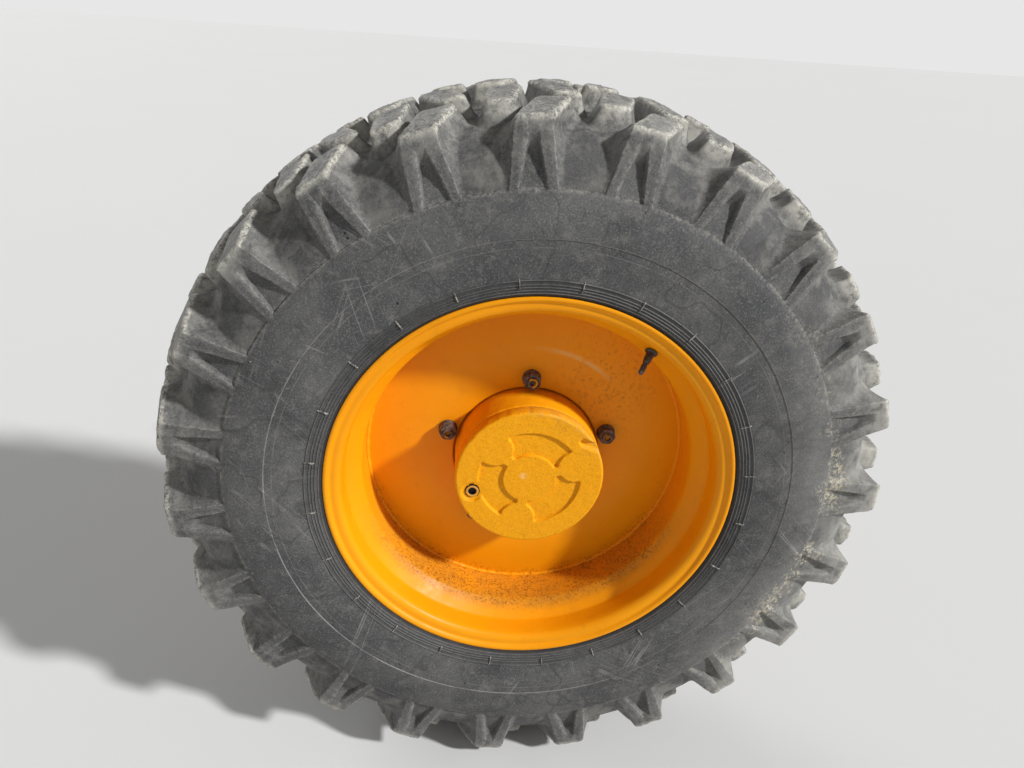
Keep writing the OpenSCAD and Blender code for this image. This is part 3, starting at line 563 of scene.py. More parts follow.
NOTCH_START = 4.0
NOTCH_DEPTH = 13.0
NOTCH_DEEP_R = 614.0
NOTCH_END_R = 643.0
NOTCH_HALF = (23, 7)
NOTCH_WALL = 3.6
NOTCH_LIP = 1.6
SLANT = tan(radians(26))
SLANT_START_W = 8.0
SLANT_END_W = 88.0
FLANK = (0.82, 0.65, 0.50, 0.36, 0.24, 0.13, 0.05)
FLANK_POWER = 2.2
FLANK_RUN = 8
FLANK_PER_HEIGHT = 0.55
VALLEY_HALF = 6
FLAT_HEIGHT = 0.5
# Strength of the pale line along the lug line's step, a painted highlight; through the edge mask it also
# roughens the rubber there
FOOT_HIGHLIGHT = 0.34
# From a flank to the top over a rounded edge: shares of the way in and of the way down, and wear
EDGE_STEPS = ((0, 1, 0.7), (0.15, 0.55, 1), (0.5, 0.15, 0.9), (1, 0, 0.35))


def notch_depth(r):
    if r < NOTCH_DEEP_R:
        return between(NOTCH_START, NOTCH_DEPTH, (r - LUG_LINE_R) / (NOTCH_DEEP_R - LUG_LINE_R))
    return max(0.0, NOTCH_DEPTH * (NOTCH_END_R - r) / (NOTCH_END_R - NOTCH_DEEP_R))


def notch_half(r):
    return between(*NOTCH_HALF, min(1.0, (r - LUG_LINE_R) / (NOTCH_END_R - LUG_LINE_R)))


# By row: a lug's half width, how much wider its other half is, and the rounding of both edges
HALF_KEYS = [(0, 39.5), (6, 28.5), (8, 28), (12.6, 25.5), (13.4, 23.5), (14, 21.5), (16, 21), (17, 21)]
WIDER_KEYS = [(0, 0), (5, 1), (6.5, 4), (8, 7.5), (12, 8.5), (13.4, 7), (14, 6), (16, 6)]
EDGE_KEYS = [(0, 1.5), (1, 2.5), (5, 3), (6, 4), (7, 5.5), (13, 6), (14, 5), (15, 2), (16, 0.5)]
BEVEL_KEYS = [(0, 1.5), (1, 2.5), (5, 3.5), (6.5, 8), (8, 12), (13, 12), (14, 8), (15, 2),
              (16, 0.5)]


def lug_side(t, height, half, edge, half_pitch, depth, notch, masks):
    """One side of a lug from the valley to the notch, as (distance, height share, depth, mask)."""
    flat = height < FLAT_HEIGHT
    top, corner, valley = masks
    drop = min(0.7 * edge, 0.5 * height)
    reach = min(half + FLANK_RUN + FLANK_PER_HEIGHT * height, half_pitch - VALLEY_HALF)
    run = reach - half
    wall = NOTCH_WALL * min(1.0, depth / 6) + 0.3
    lip = min(NOTCH_LIP, depth)
    crest = 1 - drop / height if not flat else 1.0
    foot = FOOT_HIGHLIGHT * max(0.0, 1 - 3 * t)
    wear = between(0.28, 1.0, min(max(t - NOTCH_ROWS, 0.0) / WEAR_SPREAD, 1.0))
    side = [(x, 0, 0, (0, foot, valley)) for x in (half_pitch, (half_pitch + reach) / 2, reach)]
    for u in FLANK:
        mask = (0, max(0.1, foot * u), 0.6 * u)
        side.append((half + run * u, crest * (1 - u) ** FLANK_POWER, 0, mask))
    for inward, fall, worn in EDGE_STEPS:
        share = 1 - fall * drop / height if not flat else 1.0
        side.append((half - inward * edge, share, 0, (top, worn * wear, 0)))
    side.append(((half - edge + notch + 2) / 2, 1, 0, (top, corner, 0)))
    lip_wear = 0.22 if depth > 0.5 else corner
    # The notch's floor takes a little of the valley mask, with its painted shade and dust
    deep = 0.15 if depth else 0
    side.append((notch + 2, 1, 0, (top, max(corner, 0.2), 0)))
    side.append((notch + 0.6, 1, 0.35 * lip, (top, lip_wear, 0)))
    side.append((notch, 1, lip, (top, lip_wear * 0.8, 0)))
    side.append((notch - wall, 1, depth, (top, max(corner * 0.5, foot), deep)))
    side.append(((notch - wall) / 2, 1, depth, (top, max(corner, foot), deep)))
    return side


def lug_row(t):
    """The points across one lug at a row, as (angle offset, r, w, mask) from valley to valley."""
    vr, vw, tr, tw = curve_at(ROW_KEYS, t)
    height = hypot(tr - vr, tw - vw)
    half = value_at(HALF_KEYS, t)
    wider = half + value_at(WIDER_KEYS, t)
    notched = t <= NOTCH_ROWS
    depth = notch_depth(tr) if notched else 0.0
    notch = notch_half(tr) if notched else NOTCH_HALF[1]
    top = 1.0 if TOP_ROWS[0] <= t <= TOP_ROWS[1] else 0.0
    corner = max(0.0, 1 - abs(t - CORNER_ROW) / CORNER_SPREAD)
    shared = (pi * tr / LUGS, depth, notch, (top, corner, min(1.0, t)))
    left = lug_side(t, height, half, value_at(EDGE_KEYS, t), *shared)
    right = lug_side(t, height, wider, value_at(BEVEL_KEYS, t), *shared)
    middle = [(0, 1, depth, (top, max(corner, FOOT_HIGHLIGHT - t), 0.15 if depth else 0))]
    slant_w = min(max(tw, SLANT_START_W), SLANT_END_W) - SLANT_START_W
    shift = slant_w * SLANT
    row = []
    for sign, part in ((-1, left), (0, middle), (1, right[:0:-1])):
        for x, share, extra, mask in part:
            w = between(vw, tw, share) + extra
            row.append(((shift + sign * x) / tr, between(vr, tr, share), w, mask))
    return row


# Unevenness of the rubber as (waves to a metre, least, what wear adds), the last two in metres
UNEVEN = ((62, 0.0007, 0.0021), (190, 0.0002, 0.0012))


def rough_up(point, wear):
    """Moves a point by noise of two sizes, more where the rubber is worn."""
    smooth = Vector(point)
    moved = smooth
    for waves, least, more in UNEVEN:
        moved = moved + noise.noise_vector(smooth * waves) * (least + more * wear)
    return moved


# Outline of the sidewall from the bead to the lug line, and of the bead and the inside
SIDE_KEYS = [(381.5, 2.2), (386, -1), (393, -4), (415, -7.4), (436, -10), (465, -12.8), (491, -14),
             (512, -13), (530, -10.8), (545, -7.6), (558, -4)]
BEAD_OUTLINE = [
    (381, 3.6), (379.5, 7), (375.5, 11), (369.3, 13.2), (361.6, 13.6), (357.2, 15.5), (355.9, 20),
    (355.9, 38), (360, 42), (372, 36), (389, 27), (420, 12), (456, 4.5), (500, 3),
    (538, 6.5), (575, 24), (608, 47), (626, 80), (634, 120), (638, 165), (638.5, 203.5)]
STEP_HEIGHT = 1.4
STEP_BACK_R = 550
STEP_BACK_RUN = 8


def sidewall_w(r):
    table_r = [k[0] for k in SIDE_KEYS]
    i = max(j for j in range(len(table_r)) if r >= table_r[j] - 1e-6)
    i = min(i, len(table_r) - 2)
    t = i + (r - table_r[i]) / (table_r[i + 1] - table_r[i])
    w = curve_at(SIDE_KEYS, t)[1]
    if r > LINE_R:
        w -= STEP_HEIGHT
    if r > STEP_BACK_R:
        w += min(1.0, (r - STEP_BACK_R) / STEP_BACK_RUN) * STEP_HEIGHT
    for middle, half_width, high in RIDGES:
        w -= high * max(0.0, 1 - abs(r - middle) / half_width)
    return w


def sidewall_radii():
    radii = [381.5, 384.5]
    for middle, half_width, _ in RIDGES:
        radii.extend((middle - half_width, middle, middle + half_width))
    radii.extend((419, 427, 436, 446, 456, 466, 475, LINE_R - 0.4, LINE_R + 0.4, 487, 496, 505, 514, 523,
                  532, 540, 547, 552))
    return radii


BLOCK_BASE = [(35, 629), (41, 634), (45, 637), (55, 643), (62, 646), (72, 649.5), (82, 652), (88, 653.3),
              (97, 654.8), (102, 655.6), (150, 657.9), (203.5, 658.3), (260, 657)]
CROWN_R = 700.0
CROWN_DROP = 31.0
TREAD_HALF = 195.5


def tread_radius(w):
    return CROWN_R - CROWN_DROP * ((w - HALF) / TREAD_HALF) ** 2


CORNER_POINTS = 4
SIDE_POINTS = 3


def block_outline(front, back, half_front, half_back, corner):
    """A rounded four-sided outline as (x, w, nx, nw), going round clockwise seen from outside."""
    corners = [(-half_front, front), (half_front, front), (half_back, back), (-half_back, back)]
    points = []
    for i, here in enumerate(corners):
        prev = Vector(corners[i - 1])
        this = Vector(here)
        after = Vector(corners[(i + 1) % 4])
        to_prev = (prev - this).normalized()
        to_after = (after - this).normalized()
        start = this + to_prev * corner[i]
        end = this + to_after * corner[i]
        for k in range(CORNER_POINTS):
            t = k / (CORNER_POINTS - 1)
            points.append(start * (1 - t) ** 2 + this * (2 * t * (1 - t)) + end * t * t)
        next_start = after + (this - after).normalized() * corner[(i + 1) % 4]
        for k in range(1, SIDE_POINTS + 1):
            points.append(end.lerp(next_start, k / (SIDE_POINTS + 1)))
    outline = []
    for i, p in enumerate(points):
        ahead = points[(i + 1) % len(points)] - points[i - 1]
        outward = Vector((ahead.y, -ahead.x)).normalized()
        outline.append((p.x, p.y, outward.x, outward.y))
    return outline


# The two rows of blocks between the lugs and the middle of the tread
BLOCKS = [
    dict(turn=radians(23.1), pivot=63.5, slant=tan(radians(11)), side_run=20, end_run=12,
         outline=block_outline(69, 157, 26, 30, (9, 24, 12, 12))),
    dict(turn=radians(16.65), pivot=127.5, slant=-tan(radians(20)), side_run=20, end_run=14,
         outline=block_outline(113, 207, 27, 27, (11, 13, 10, 10)))]
BLOCK_EDGE = 6.5
BLOCK_DROP = 0.13
BLOCK_FOOT_RUN = 1.1
BLOCK_SUNK = -0.06
BLOCK_WORN_FROM = 0.8
BLOCK_WEAR = 0.8
BLOCK_LEAST_WEAR = 0.1


def add_block(build, block, turn, inner):
    def place(x, w, nx, nw, out_side, out_end, share):
        px = x + nx * out_side
        pw = w + nw * out_end
        base = value_at(BLOCK_BASE, pw)
        r = between(base, tread_radius(pw), share)
        angle = turn + (px + (pw - block["pivot"]) * block["slant"]) / tread_radius(w)
        wear = BLOCK_WEAR * share if share > BLOCK_WORN_FROM else BLOCK_LEAST_WEAR
        return tuple(rough_up(spot(r, angle, pw, inner), wear))

    outline = block["outline"]
    side_run = block["side_run"]
    end_run = block["end_run"]
    foot = [place(*p, side_run * BLOCK_FOOT_RUN, end_run * BLOCK_FOOT_RUN, BLOCK_SUNK) for p in outline]
    # The block's foot and flanks take the valley mask, with its painted shade and dust
    rings = [build.ring(foot, (0, 0, 1))]
    for u in FLANK:
        share = (1 - BLOCK_DROP) * (1 - u) ** FLANK_POWER
        points = [place(*p, side_run * u, end_run * u, share) for p in outline]
        rings.append(build.ring(points, (0, 0.1, 0.6 * u)))
    for inward, fall, worn in EDGE_STEPS:
        offset = -inward * BLOCK_EDGE
        points = [place(*p, offset, offset, 1 - BLOCK_DROP * fall) for p in outline]
        rings.append(build.ring(points, (1, worn, 0)))
    mid_x = sum(p[0] for p in outline) / len(outline)
    mid_w = sum(p[1] for p in outline) / len(outline)
    for shrink in (0.6, 0.25):
        points = []
        for x, w, nx, nw in outline:
            inner_x = between(mid_x, x - nx * BLOCK_EDGE, shrink)
            inner_w = between(mid_w, w - nw * BLOCK_EDGE, shrink)
            points.append(place(inner_x, inner_w, 0, 0, 0, 0, 1))
        rings.append(build.ring(points, (1, 0, 0)))
    build.skin(rings, flip=not inner)
    build.cap(rings[-1], flip=inner)
    build.cap(rings[0], flip=not inner)


# Short upright ribs across the bead's ridges, and vent nubs, both sunk in the sidewall
TICKS = 24
TICK_TURN = radians(7.9)
TICK_RADII = (396, 399, 406, 413.5, 416.5)
TICK_HIGH = 2.2
TICK_TOP_HALF = 0.7
TICK_FOOT_HALF = 1.3
TICK_END = -0.5
TICK_LEAST_W = -6.2
SUNK = 2.0
NUBS = [(440, 148, 4.5), (441, 305, 4.5), (470, 212, 2), (470, 27, 2)]
NUBS += [(509, 60 + 120 * k, 1.8) for k in range(3)]
NUBS += [(549, 15 + 47 * k, 1.6) for k in range(8)] + [(483, 90, 2.2), (483, 270, 2.2)]
NUB_RINGS = ((1.0, SUNK), (1.0, -0.7), (0.75, -1.2))
NUB_SIDES = 12


def add_tick(build, turn, inner):
    rings = []
    for r in TICK_RADII:
        high = TICK_HIGH if TICK_RADII[0] < r < TICK_RADII[-1] else TICK_END
        w = sidewall_w(r)
        lift = min(w, TICK_LEAST_W) - high - w
        section = ((-TICK_FOOT_HALF, SUNK), (-TICK_TOP_HALF, lift), (TICK_TOP_HALF, lift),
                   (TICK_FOOT_HALF, SUNK))
        points = [spot(r, turn + x / r, w + sink, inner) for x, sink in section]
        # The rib takes the pale edge tint all over: a painted highlight
        rings.append(build.ring(points, (0, 0.7, 0)))
    build.skin(rings, flip=not inner)
    build.cap(rings[0], flip=not inner)
    build.cap(rings[-1], flip=inner)


def add_nub(build, r, turn, size, inner):
    w = sidewall_w(r)
    rings = []
    for share, lift in NUB_RINGS:
        points = []
        for around in turns(NUB_SIDES):
            rr = r + size * share * cos(around)
            points.append(spot(rr, turn + size * share * sin(around) / r, w + lift, inner))
        rings.append(build.ring(points, (0, 0.2, 0)))
    build.skin(rings, flip=not inner)
    build.cap(rings[0], flip=not inner)
    build.cap(rings[-1], flip=inner)


def add_tread(build, rows, starts, inner):
    """The sheet of lugs and valleys, one ring to a row; gives back its first and last ring."""
    sheet = []
    for number, row in enumerate(rows):
        ring = []
        for start in starts:
            for a, r, w, mask in row:
                point = spot(r, start + a, w, inner)
                if 1 < number < len(rows) - SEAM_ROWS:
                    point = tuple(rough_up(point, mask[1] if number > CRISP_ROWS else CRISP_WEAR))
                ring.append(len(build.verts))
                build.verts.append(point)
                build.masks.append(mask)
        sheet.append(ring)
    build.skin(sheet, flip=inner)
    return sheet[0], sheet[-1]


def make_tyre(name, inner):
    build = Builder()
    rows = [lug_row(t) for t in ROW_STEPS]
    # The ring on the lug line's step takes the pale edge tint: a painted highlight
    line = [(a, LUG_LINE_R - 1, -4.0, (0, 0.8 * mask[1], 0)) for a, _, _, mask in rows[0]]
    offset = PITCH / 2 if inner else 0.0
    starts = [LUG_TURN + offset + lug * PITCH for lug in range(LUGS)]
    tread_start, tread_end = add_tread(build, [line] + rows, starts, inner)
    # Sidewall, bead and inside have a quarter as many points round
    coarse = [start + point[0] for start in starts for point in line[::4]]

    def smooth_rings(outline):
        return [build.ring([spot(r, a, w, inner) for a in coarse]) for r, w in outline]

    side = smooth_rings([(r, sidewall_w(r)) for r in sidewall_radii()])
    build.skin(side, flip=inner)
    build.fan_join(side[-1], tread_start, flip=inner)
    inside = smooth_rings(BEAD_OUTLINE)
    build.join(inside[0], side[0], flip=inner)
    build.skin(inside, flip=not inner)
    build.fan_join(inside[-1], tread_end, flip=not inner)
    for lug in range(LUGS):
        for block in BLOCKS:
            add_block(build, block, block["turn"] + offset + lug * PITCH, inner)
    for turn in turns(TICKS):
        add_tick(build, TICK_TURN + turn, inner)
    for r, degrees, size in NUBS:
        add_nub(build, r, radians(degrees), size, inner)
    add_piece(name, build, "wheel", TYRE, ("tyre",), masked=True, sharp=48)


# Rim: the outboard half of its sheet in (r, w), first on the side of the air and then on the tyre's,
# with the radii of the corners between the ends
RIM_AIR = [(380.2, 0.8), (378, -0.1), (374.5, 0), (371.5, 2.2), (368.5, 6), (357.5, 6.6),
           (349.5, 13), (347.4, 24), (346.2, 54), (335, 66), (318.6, 86), (317.6, 96)]
RIM_AIR_RADII = (1.5, 2, 2, 5, 5, 6, 5, 4, 4, 6)
RIM_TYRE = [(325.6, 90), (341, 70), (353.8, 48), (355.6, 18), (360.6, 13), (369, 13),
            (375, 11.4), (379.4, 7), (381, 2.4), (380.2, 0.8)]
RIM_TYRE_RADII = (6, 6, 4, 4, 3, 3, 3, 1)
RIM_SEGMENTS = 180


def make_rim():
    near = rounded(RIM_AIR, RIM_AIR_RADII, 4)
    back = rounded(RIM_TYRE, RIM_TYRE_RADII, 3)
    far_air = [(r, 2 * HALF - w) for r, w in reversed(near)]
    far_tyre = [(r, 2 * HALF - w) for r, w in reversed(back)]
    build = Builder()
    revolve(build, near + far_air[:-1] + far_tyre + back[:-1], RIM_SEGMENTS)
    add_piece("rim_sheet", build, "wheel", RIM_PAINT, ("rim",), sharp=40)


# Disc: its outboard face with the radii of its corners, and its back
DISC_W = 148.5
DISC_FACE = [(145, 150), (147, DISC_W), (205, DISC_W), (240, 151.4), (280, 158.5), (305, 163.2),
             (317.3, 164.5)]
DISC_RADII = (1, 25, 16, 16, 8)
DISC_BACK = [(317.3, 178.5), (304, 177.2), (280, 172.5), (240, 165.4), (205, 162.5), (147, 162.5),
             (145, 161)]
DISC_SEGMENTS = 160


def make_disc():
    build = Builder()
    revolve(build, rounded(DISC_FACE, DISC_RADII, 6) + DISC_BACK, DISC_SEGMENTS)
    add_piece("disc_plate", build, "wheel", DISC_PAINT, ("wheel_disc",), sharp=40)


WELD_R = 316.0
WELD_W = 163.5
WELD_HALF_R = 5.0
WELD_HALF_W = 4.6
WELD_SEGMENTS = 420
WELD_SIDES = 7
WELD_LUMP = 1.4
WELD_LUMP_R = 330
WELD_LUMP_WAVES = 30
WELD_RIPPLE = 0.5
WELD_RIPPLE_STEPS = 5


def make_weld():
    """The bead of weld between the disc and the rim, with its ripples."""
    build = Builder()
    rings = []
    for i, turn in enumerate(turns(WELD_SEGMENTS)):
        lump = WELD_LUMP * noise.noise(Vector(spot(WELD_LUMP_R, turn, 0)) * WELD_LUMP_WAVES)
        ripple = WELD_RIPPLE * sin(i * FULL_TURN / WELD_RIPPLE_STEPS) + lump
        points = []
        for around in turns(WELD_SIDES):
            r = WELD_R + (WELD_HALF_R + ripple) * cos(around)
            points.append(spot(r, turn, WELD_W + (WELD_HALF_W + ripple) * sin(around)))
        rings.append(build.ring(points))
    build.skin(rings + rings[:1], flip=True)
    add_piece("disc_weld", build, "wheel", DISC_PAINT, sharp=60)


# Nuts and studs. Each ring is (radius, distance outboard of the disc's face, share of hexagon).
STUDS = 5
STUD_CIRCLE = 165.0
HEX_FLAT = 15.6
NUT_RINGS = [(10.1, 0, 0), (17.6, 0, 0), (18.3, 0.8, 0), (18.3, 4.6, 0), (17.7, 5.8, 0), (17.4, 6.6, 0.6),
             (17.4, 8, 1), (17.4, 17.5, 1), (16.6, 19.6, 1), (14.9, 21.4, 0.6), (13.4, 22, 0),
             (10.9, 22, 0), (10.1, 21, 0)]
STUD_RINGS = [(9.9, 0, 0), (9.9, 25.4, 0), (9, 27, 0), (6.9, 27, 0), (6.2, 26.2, 0), (5.8, 19.5, 0),
              (1.5, 17.5, 0)]
HEAD_RINGS = [(9.9, -35.8, 0), (15, -35.9, 0), (15.2, -36.5, 0), (15.2, -41.5, 0), (13.6, -43, 0),
              (6, -43.2, 0)]
NUT_SIDES = 48
NUT_SPIN = 0.4
NUT_SPIN_STEP = 0.7
STUD_SIDES = 32


def beside_axle(turn, circle, radius, around, w):
    """A point on a small circle about a line that runs along the axle."""
    x = circle * sin(turn) + radius * sin(around)
    z = circle * cos(turn) + radius * cos(around)
    return (x * MM, WHEEL_Y + (w - HALF) * MM, z * MM)


def add_turned(build, rings, turn, circle, base_w, segments, spin=0.0):
    made = []
    for radius, out, hexed in rings:
        points = []
        for around in turns(segments):
            sector = (around + pi / 6) % (pi / 3) - pi / 6
            flat = HEX_FLAT / cos(sector)
            r = between(radius, min(radius, flat), hexed)
            points.append(beside_axle(turn, circle, r, around + spin, base_w - out))
        made.append(build.ring(points))
    build.skin(made)
    return made


def make_nuts():
    nuts = Builder()
    studs = Builder()
    for i, turn in enumerate(turns(STUDS)):
        spin = NUT_SPIN + NUT_SPIN_STEP * i
        nut = add_turned(nuts, NUT_RINGS, turn, STUD_CIRCLE, DISC_W, NUT_SIDES, spin)
        nuts.join(nut[-1], nut[0])
        end = add_turned(studs, STUD_RINGS, turn, STUD_CIRCLE, DISC_W, STUD_SIDES)
        studs.cap(end[-1])
        head = add_turned(studs, HEAD_RINGS, turn, STUD_CIRCLE, DISC_W, STUD_SIDES)
        studs.cap(head[-1], flip=True)
        studs.join(head[0], end[0])
    add_piece("stud_nuts", nuts, "wheel", RUSTY, ("wheel_nuts",), sharp=28)
    add_piece("hub_studs", studs, "wheel", STUD_END, ("wheel_studs",), sharp=28)


# End cover: its face is a fine grid of rings whose depth comes from the pockets' outlines
COVER_R = 138.0
COVER_SEGMENTS = 288
COVER_RADII = [5, 11, 18, 25, 32, 38, 42] + [45 + 1.55 * k for k in range(36)]
COVER_RADII += [COVER_RADII[-1] + 2.05 * k for k in range(1, 19)] + [COVER_R]
FLAT_MIDDLE_R = 40
POCKET_IN = 50.5
POCKET_OUT = 98.0
POCKET_DEPTH = 5.4
BOSSES = [(90 * cos(radians(d)), 90 * sin(radians(d))) for d in (18.4, 138.4, 258.4)]
BOSS_R = 33.0
BRIDGE_HALF = 9.5
PLUG = (-107.3, -32.1)
PLUG_BAY_R = 20.0
PLUG_HOLE_DEPTH = 14.0
SLOT = ((97, 80.5), (124, 71))
SLOT_HALF = 7.5
SLOT_DEPTH = 7.5
# Side and back of the cover as (r, depth); the slot and the chips reach the first few
COVER_SIDE = [(140.2, 1), (141.3, 3), (141.5, 5), (141.5, 26.6), (140.2, 27.9), (121.2, 27.9),
              (121.2, 38), (107.5, 38), (107.5, 18)]
CHIPPED_RINGS = 3
SLOTTED_RINGS = 4
CHIP_WAVES = 9
CHIP_LEVEL = 0.15
CHIP_DEPTH = 3.5
# Lumps of its face as (waves to a millimetre, level in the noise, height)
COVER_LUMPS = ((0.09, 0, 0.35), (0.4, 7, 0.14))


def soft_max(a, b, k):
    h = max(k - abs(a - b), 0.0) / k
    return max(a, b) + h * h * k / 4


def step_between(low, high, x):
    t = min(max((x - low) / (high - low), 0.0), 1.0)
    return t * t * (3 - 2 * t)


def to_segment(x, z, a, b):
    dx = b[0] - a[0]
    dz = b[1] - a[1]
    t = min(max(((x - a[0]) * dx + (z - a[1]) * dz) / (dx * dx + dz * dz), 0.0), 1.0)
    return hypot(x - a[0] - t * dx, z - a[1] - t * dz)


def slot_share(x, z):
    """One in the slot for a lever, falling to nothing at its sides."""
    return step_between(1.5, -2.0, to_segment(x, z, *SLOT) - SLOT_HALF)


def cover_depth(x, z):
    rho = hypot(x, z)
    outside = soft_max(POCKET_IN - rho, rho - POCKET_OUT, 5)
    for boss in BOSSES:
        outside = soft_max(outside, BOSS_R - hypot(x - boss[0], z - boss[1]), 7)
        outside = soft_max(outside, BRIDGE_HALF - to_segment(x, z, (0, 0), boss), 5)
    to_plug = hypot(x - PLUG[0], z - PLUG[1])
    outside = -soft_max(-outside, PLUG_BAY_R - to_plug, 8)
    depth = POCKET_DEPTH * step_between(0.9, -0.9, outside)
    depth += PLUG_HOLE_DEPTH * step_between(13.9, 12.6, to_plug)
    return max(depth, SLOT_DEPTH * slot_share(x, z))


def cover_face_point(rho, turn):
    x = rho * sin(turn)
    z = rho * cos(turn)
    depth = cover_depth(x, z) if rho > FLAT_MIDDLE_R else 0.0
    lump = sum(high * noise.noise(Vector((x, z, level)) * waves) for waves, level, high in COVER_LUMPS)
    return spot(rho, turn, COVER_W + depth + lump)


def cover_side_point(number, r, w, turn):
    chip = 0.0
    if number < CHIPPED_RINGS:
        place = Vector((sin(turn) * CHIP_WAVES, cos(turn) * CHIP_WAVES, number))
        chip = max(0.0, noise.noise(place) - CHIP_LEVEL) * CHIP_DEPTH
    share = slot_share(r * sin(turn), r * cos(turn))
    if number < SLOTTED_RINGS and share > 0:
        w = max(w, COVER_W + SLOT_DEPTH * share)
    return spot(r - chip, turn, w)


def make_cover():
    build = Builder()
    around = turns(COVER_SEGMENTS)
    face = [build.ring([cover_face_point(rho, turn) for turn in around]) for rho in COVER_RADII]
    build.skin(face, flip=True)
    build.cap(face[0], flip=True)
    side = []
    for number, (r, depth) in enumerate(COVER_SIDE):
        side.append(build.ring([cover_side_point(number, r, COVER_W + depth, turn) for turn in around]))
    build.join(side[0], face[-1])
    build.skin(side, flip=True)
    build.cap(side[-1], flip=True)
    add_piece("cover_casting", build, "wheel", COVER_PAINT, ("end_cover",), sharp=50)


PLUG_RINGS = [(12.6, -15, 0), (12.6, -4.2, 0), (12.2, -3.2, 0), (11.2, -2.7, 0), (9, -2.9, 0),
              (8, -3.8, 0), (7.6, -13, 0), (2, -14.5, 0)]
PLUG_SIDES = 36


def make_plug():
    build = Builder()
    turn = atan2(PLUG[0], PLUG[1])
    made = add_turned(build, PLUG_RINGS, turn, hypot(*PLUG), COVER_W, PLUG_SIDES)
    build.cap(made[-1])
    build.cap(made[0], flip=True)
    add_piece("plug_ring", build, "wheel", PLUG_STEEL, ("level_plug",))


# Valve: turned profile along its own line, on the slope between the seat and the well
VALVE_R = 331.6
VALVE_W = 69.0
VALVE_TURN = radians(38)
VALVE_LEAN = radians(40)
VALVE_RINGS = [(6.5, -14), (8.2, -12), (8.2, -1), (11.8, 0.5), (12.3, 2), (11.2, 3.8), (8.6, 5),
               (7.8, 8), (7, 20), (6.2, 25), (4.4, 26.5), (4.2, 29.5), (4.9, 30.2), (5.1, 31),
               (5.1, 46.5), (4.6, 48.6), (3.2, 49.8), (1, 50.1)]
VALVE_SIDES = 30
KNURLED = (31, 46.5)
KNURL_DEPTH = 0.35


def turned(build, profile, base, along, across, segments, knurled=None):
    """A turned body on a line of its own; between two places along it every other point lies deeper."""
    third = along.cross(across)
    rings = []
    for r, out in profile:
        points = []
        for i, around in enumerate(turns(segments)):
            deeper = KNURL_DEPTH * (i % 2) if knurled and knurled[0] <= out <= knurled[1] else 0.0
            off = (r - deeper) * MM
            center = base + along * out * MM
            points.append(tuple(center + across * off * cos(around) + third * off * sin(around)))
        rings.append(build.ring(points))
    build.skin(rings)
    build.cap(rings[0], flip=True)
    build.cap(rings[-1])


def make_valve():
    build = Builder()
    inward = Vector((-sin(VALVE_TURN), 0, -cos(VALVE_TURN)))
    outboard = Vector((0, -1, 0))
    along = inward * cos(VALVE_LEAN) + outboard * sin(VALVE_LEAN)
    base = Vector(spot(VALVE_R, VALVE_TURN, VALVE_W))
    across = inward.cross(outboard).normalized()
    turned(build, VALVE_RINGS, base, along, across, VALVE_SIDES, knurled=KNURLED)
    add_piece("valve", build, "wheel", VALVE_RUBBER, ("valve_stem",), sharp=40)


# Castings: a node's own form with its edges rounded and its faces slightly uneven, as the node, its
# body, the size of the grid in metres and the rounds of smoothing
CASTINGS = (("hub", "wheel", 0.0034, 2), ("knuckle", "knuckle", 0.0030, 4),
            ("steering_arm", "knuckle", 0.0026, 4), ("axle_arm", "axle", 0.0042, 3))
# Their unevenness as (waves to a metre, height in metres)
CAST_LUMPS = ((45, 0.0005), (170, 0.00015))


def make_casting(node, body, grain, rounds):
    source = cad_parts[node]
    mesh = source.data.copy()
    mesh.transform(source.matrix_world)
    work = add_object("work", mesh)
    remesh = work.modifiers.new("remesh", "REMESH")
    remesh.mode = "VOXEL"
    remesh.voxel_size = grain
    soften = work.modifiers.new("soften", "SMOOTH")
    soften.factor = 0.5
    soften.iterations = rounds
    shaped = work.evaluated_get(bpy.context.evaluated_depsgraph_get()).to_mesh()
    build = Builder()
    for vertex in shaped.vertices:
        uneven = sum(high * noise.noise(vertex.co * waves) for waves, high in CAST_LUMPS)
        build.verts.append(tuple(vertex.co + vertex.normal * uneven))
    build.faces = [tuple(face.vertices) for face in shaped.polygons]
    bpy.data.objects.remove(work)
    bpy.data.meshes.remove(mesh)
    add_piece(node + "_casting", build, body, CAST_PAINT, (node,), sharp=180)


# Grease nipples on the caps of the king pins
NIPPLE_RINGS = [(5.2, -1), (5.2, 3), (4.6, 3.6), (3, 4.2), (2.5, 7), (3.3, 8.2), (3.3, 9.6),
                (2, 11.2), (0.8, 11.5)]
NIPPLE_OUT = 15.0
NIPPLE_SIDES = 24


def make_nipples():
    build = Builder()
    for node, way in (("kingpin_upper", 1), ("kingpin_lower", -1)):
        low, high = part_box(node)
        end = high[2] if way > 0 else low[2]
        base = Vector(((low[0] + high[0]) / 2, (low[1] + high[1]) / 2 - NIPPLE_OUT * MM, end))
        turned(build, NIPPLE_RINGS, base, Vector((0, 0, way)), Vector((1, 0, 0)), NIPPLE_SIDES)
    add_piece("grease_nipples", build, "knuckle", STEEL)


make_tyre("tyre_outer_half", False)
make_tyre("tyre_inner_half", True)
make_rim()
make_disc()
make_weld()
make_nuts()
make_cover()
make_plug()
make_valve()
make_nipples()
for casting in CASTINGS:
    make_casting(*casting)

# Nodes that keep their own mesh and get a finish
KEPT = ((STEEL, ("spindle", "spindle_bolts", "kingpin_upper", "kingpin_lower", "kingpin_bolts",
                 "steering_arm_bolts", "stop_screws", "outer_yoke", "joint_cross", "inner_yoke", "bushes")),
        (RUBBER, ("hub_seal", "shaft_seal")))
for material, nodes in KEPT:
    for node in nodes:
        for material_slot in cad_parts[node].material_slots:
            material_slot.material = material

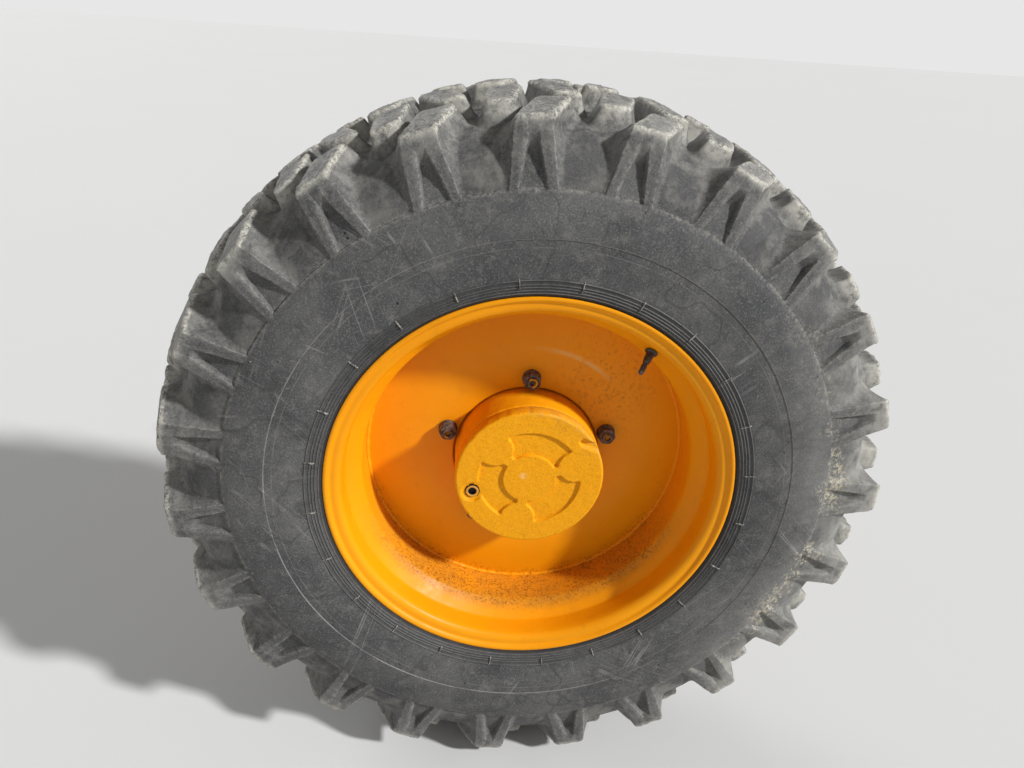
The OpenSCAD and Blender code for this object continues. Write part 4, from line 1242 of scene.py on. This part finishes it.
# Camera, floor and light
CAM_FOCAL_PX = 826.4
CAM_FROM_EDGE = Vector((-0.1679, -1.2874, 0.8265))
CAM_YAW = 5.21
CAM_PITCH = 25.12
CAM_ROLL = 4.10
PHOTO_WIDTH_PX = 1024
SENSOR_MM = 36
FLOOR_HALF = 30.0


def make_camera():
    yaw, pitch, roll = (radians(a) for a in (CAM_YAW, CAM_PITCH, CAM_ROLL))
    forward = Vector((sin(yaw) * cos(pitch), cos(yaw) * cos(pitch), -sin(pitch)))
    flat_right = Vector((cos(yaw), -sin(yaw), 0))
    flat_up = flat_right.cross(forward)
    right = cos(roll) * flat_right + sin(roll) * flat_up
    up = -sin(roll) * flat_right + cos(roll) * flat_up
    data = bpy.data.cameras.new("camera")
    data.sensor_width = SENSOR_MM
    data.lens = CAM_FOCAL_PX / PHOTO_WIDTH_PX * SENSOR_MM
    cam = add_object("camera", data)
    turn = Matrix((right, up, -forward)).transposed().to_4x4()
    turn.translation = CAM_FROM_EDGE + Vector((0, EDGE_Y, 0))
    cam.matrix_world = turn
    bpy.context.scene.camera = cam


def make_floor():
    corners = [(x * FLOOR_HALF, y * FLOOR_HALF, FLOOR_Z) for x, y in ((-1, -1), (1, -1), (1, 1), (-1, 1))]
    mesh = bpy.data.meshes.new("floor")
    mesh.from_pydata(corners, [], [(0, 1, 2, 3)])
    s = Shader("floor")
    tone = s.noise(0.7, 3, 0.5)
    s.base(tone, (0.665, 0.665, 0.66), (0.685, 0.685, 0.68))
    mesh.materials.append(s.finish(0.9))
    floor = add_object("floor", mesh)


# The world's level on the object and as seen; each lamp's name, strength, width in degrees and way
WORLD_LEVEL = 0.26
WORLD_SEEN = 0.80
LAMPS = (("main", 3.8, 4.5, (-0.724, 0.41, -0.554)), ("behind", 0.9, 25, (0.5, -0.75, -0.43)))


def make_light():
    scene = bpy.context.scene
    world = bpy.data.worlds.new("studio")
    scene.world = world
    world.use_nodes = True
    tree = world.node_tree
    background = tree.nodes["Background"]
    rays = add_node(tree, "LightPath").outputs
    either = {0: rays["Is Camera Ray"], 1: rays["Is Glossy Ray"]}
    seen = add_node(tree, "Math", either, operation="MAXIMUM").outputs[0]
    level = add_node(tree, "MapRange", {"Value": seen, "To Min": WORLD_LEVEL, "To Max": WORLD_SEEN})
    feed(background, {"Color": (1, 1, 1, 1), "Strength": level.outputs["Result"]})
    for name, strength, width, way in LAMPS:
        sun = bpy.data.lights.new(name, "SUN")
        sun.energy = strength
        sun.angle = radians(width)
        lamp = add_object(name, sun)
        lamp.rotation_euler = Vector(way).to_track_quat("-Z", "Y").to_euler()
    scene.view_settings.view_transform = "Standard"


make_camera()
make_floor()
make_light()
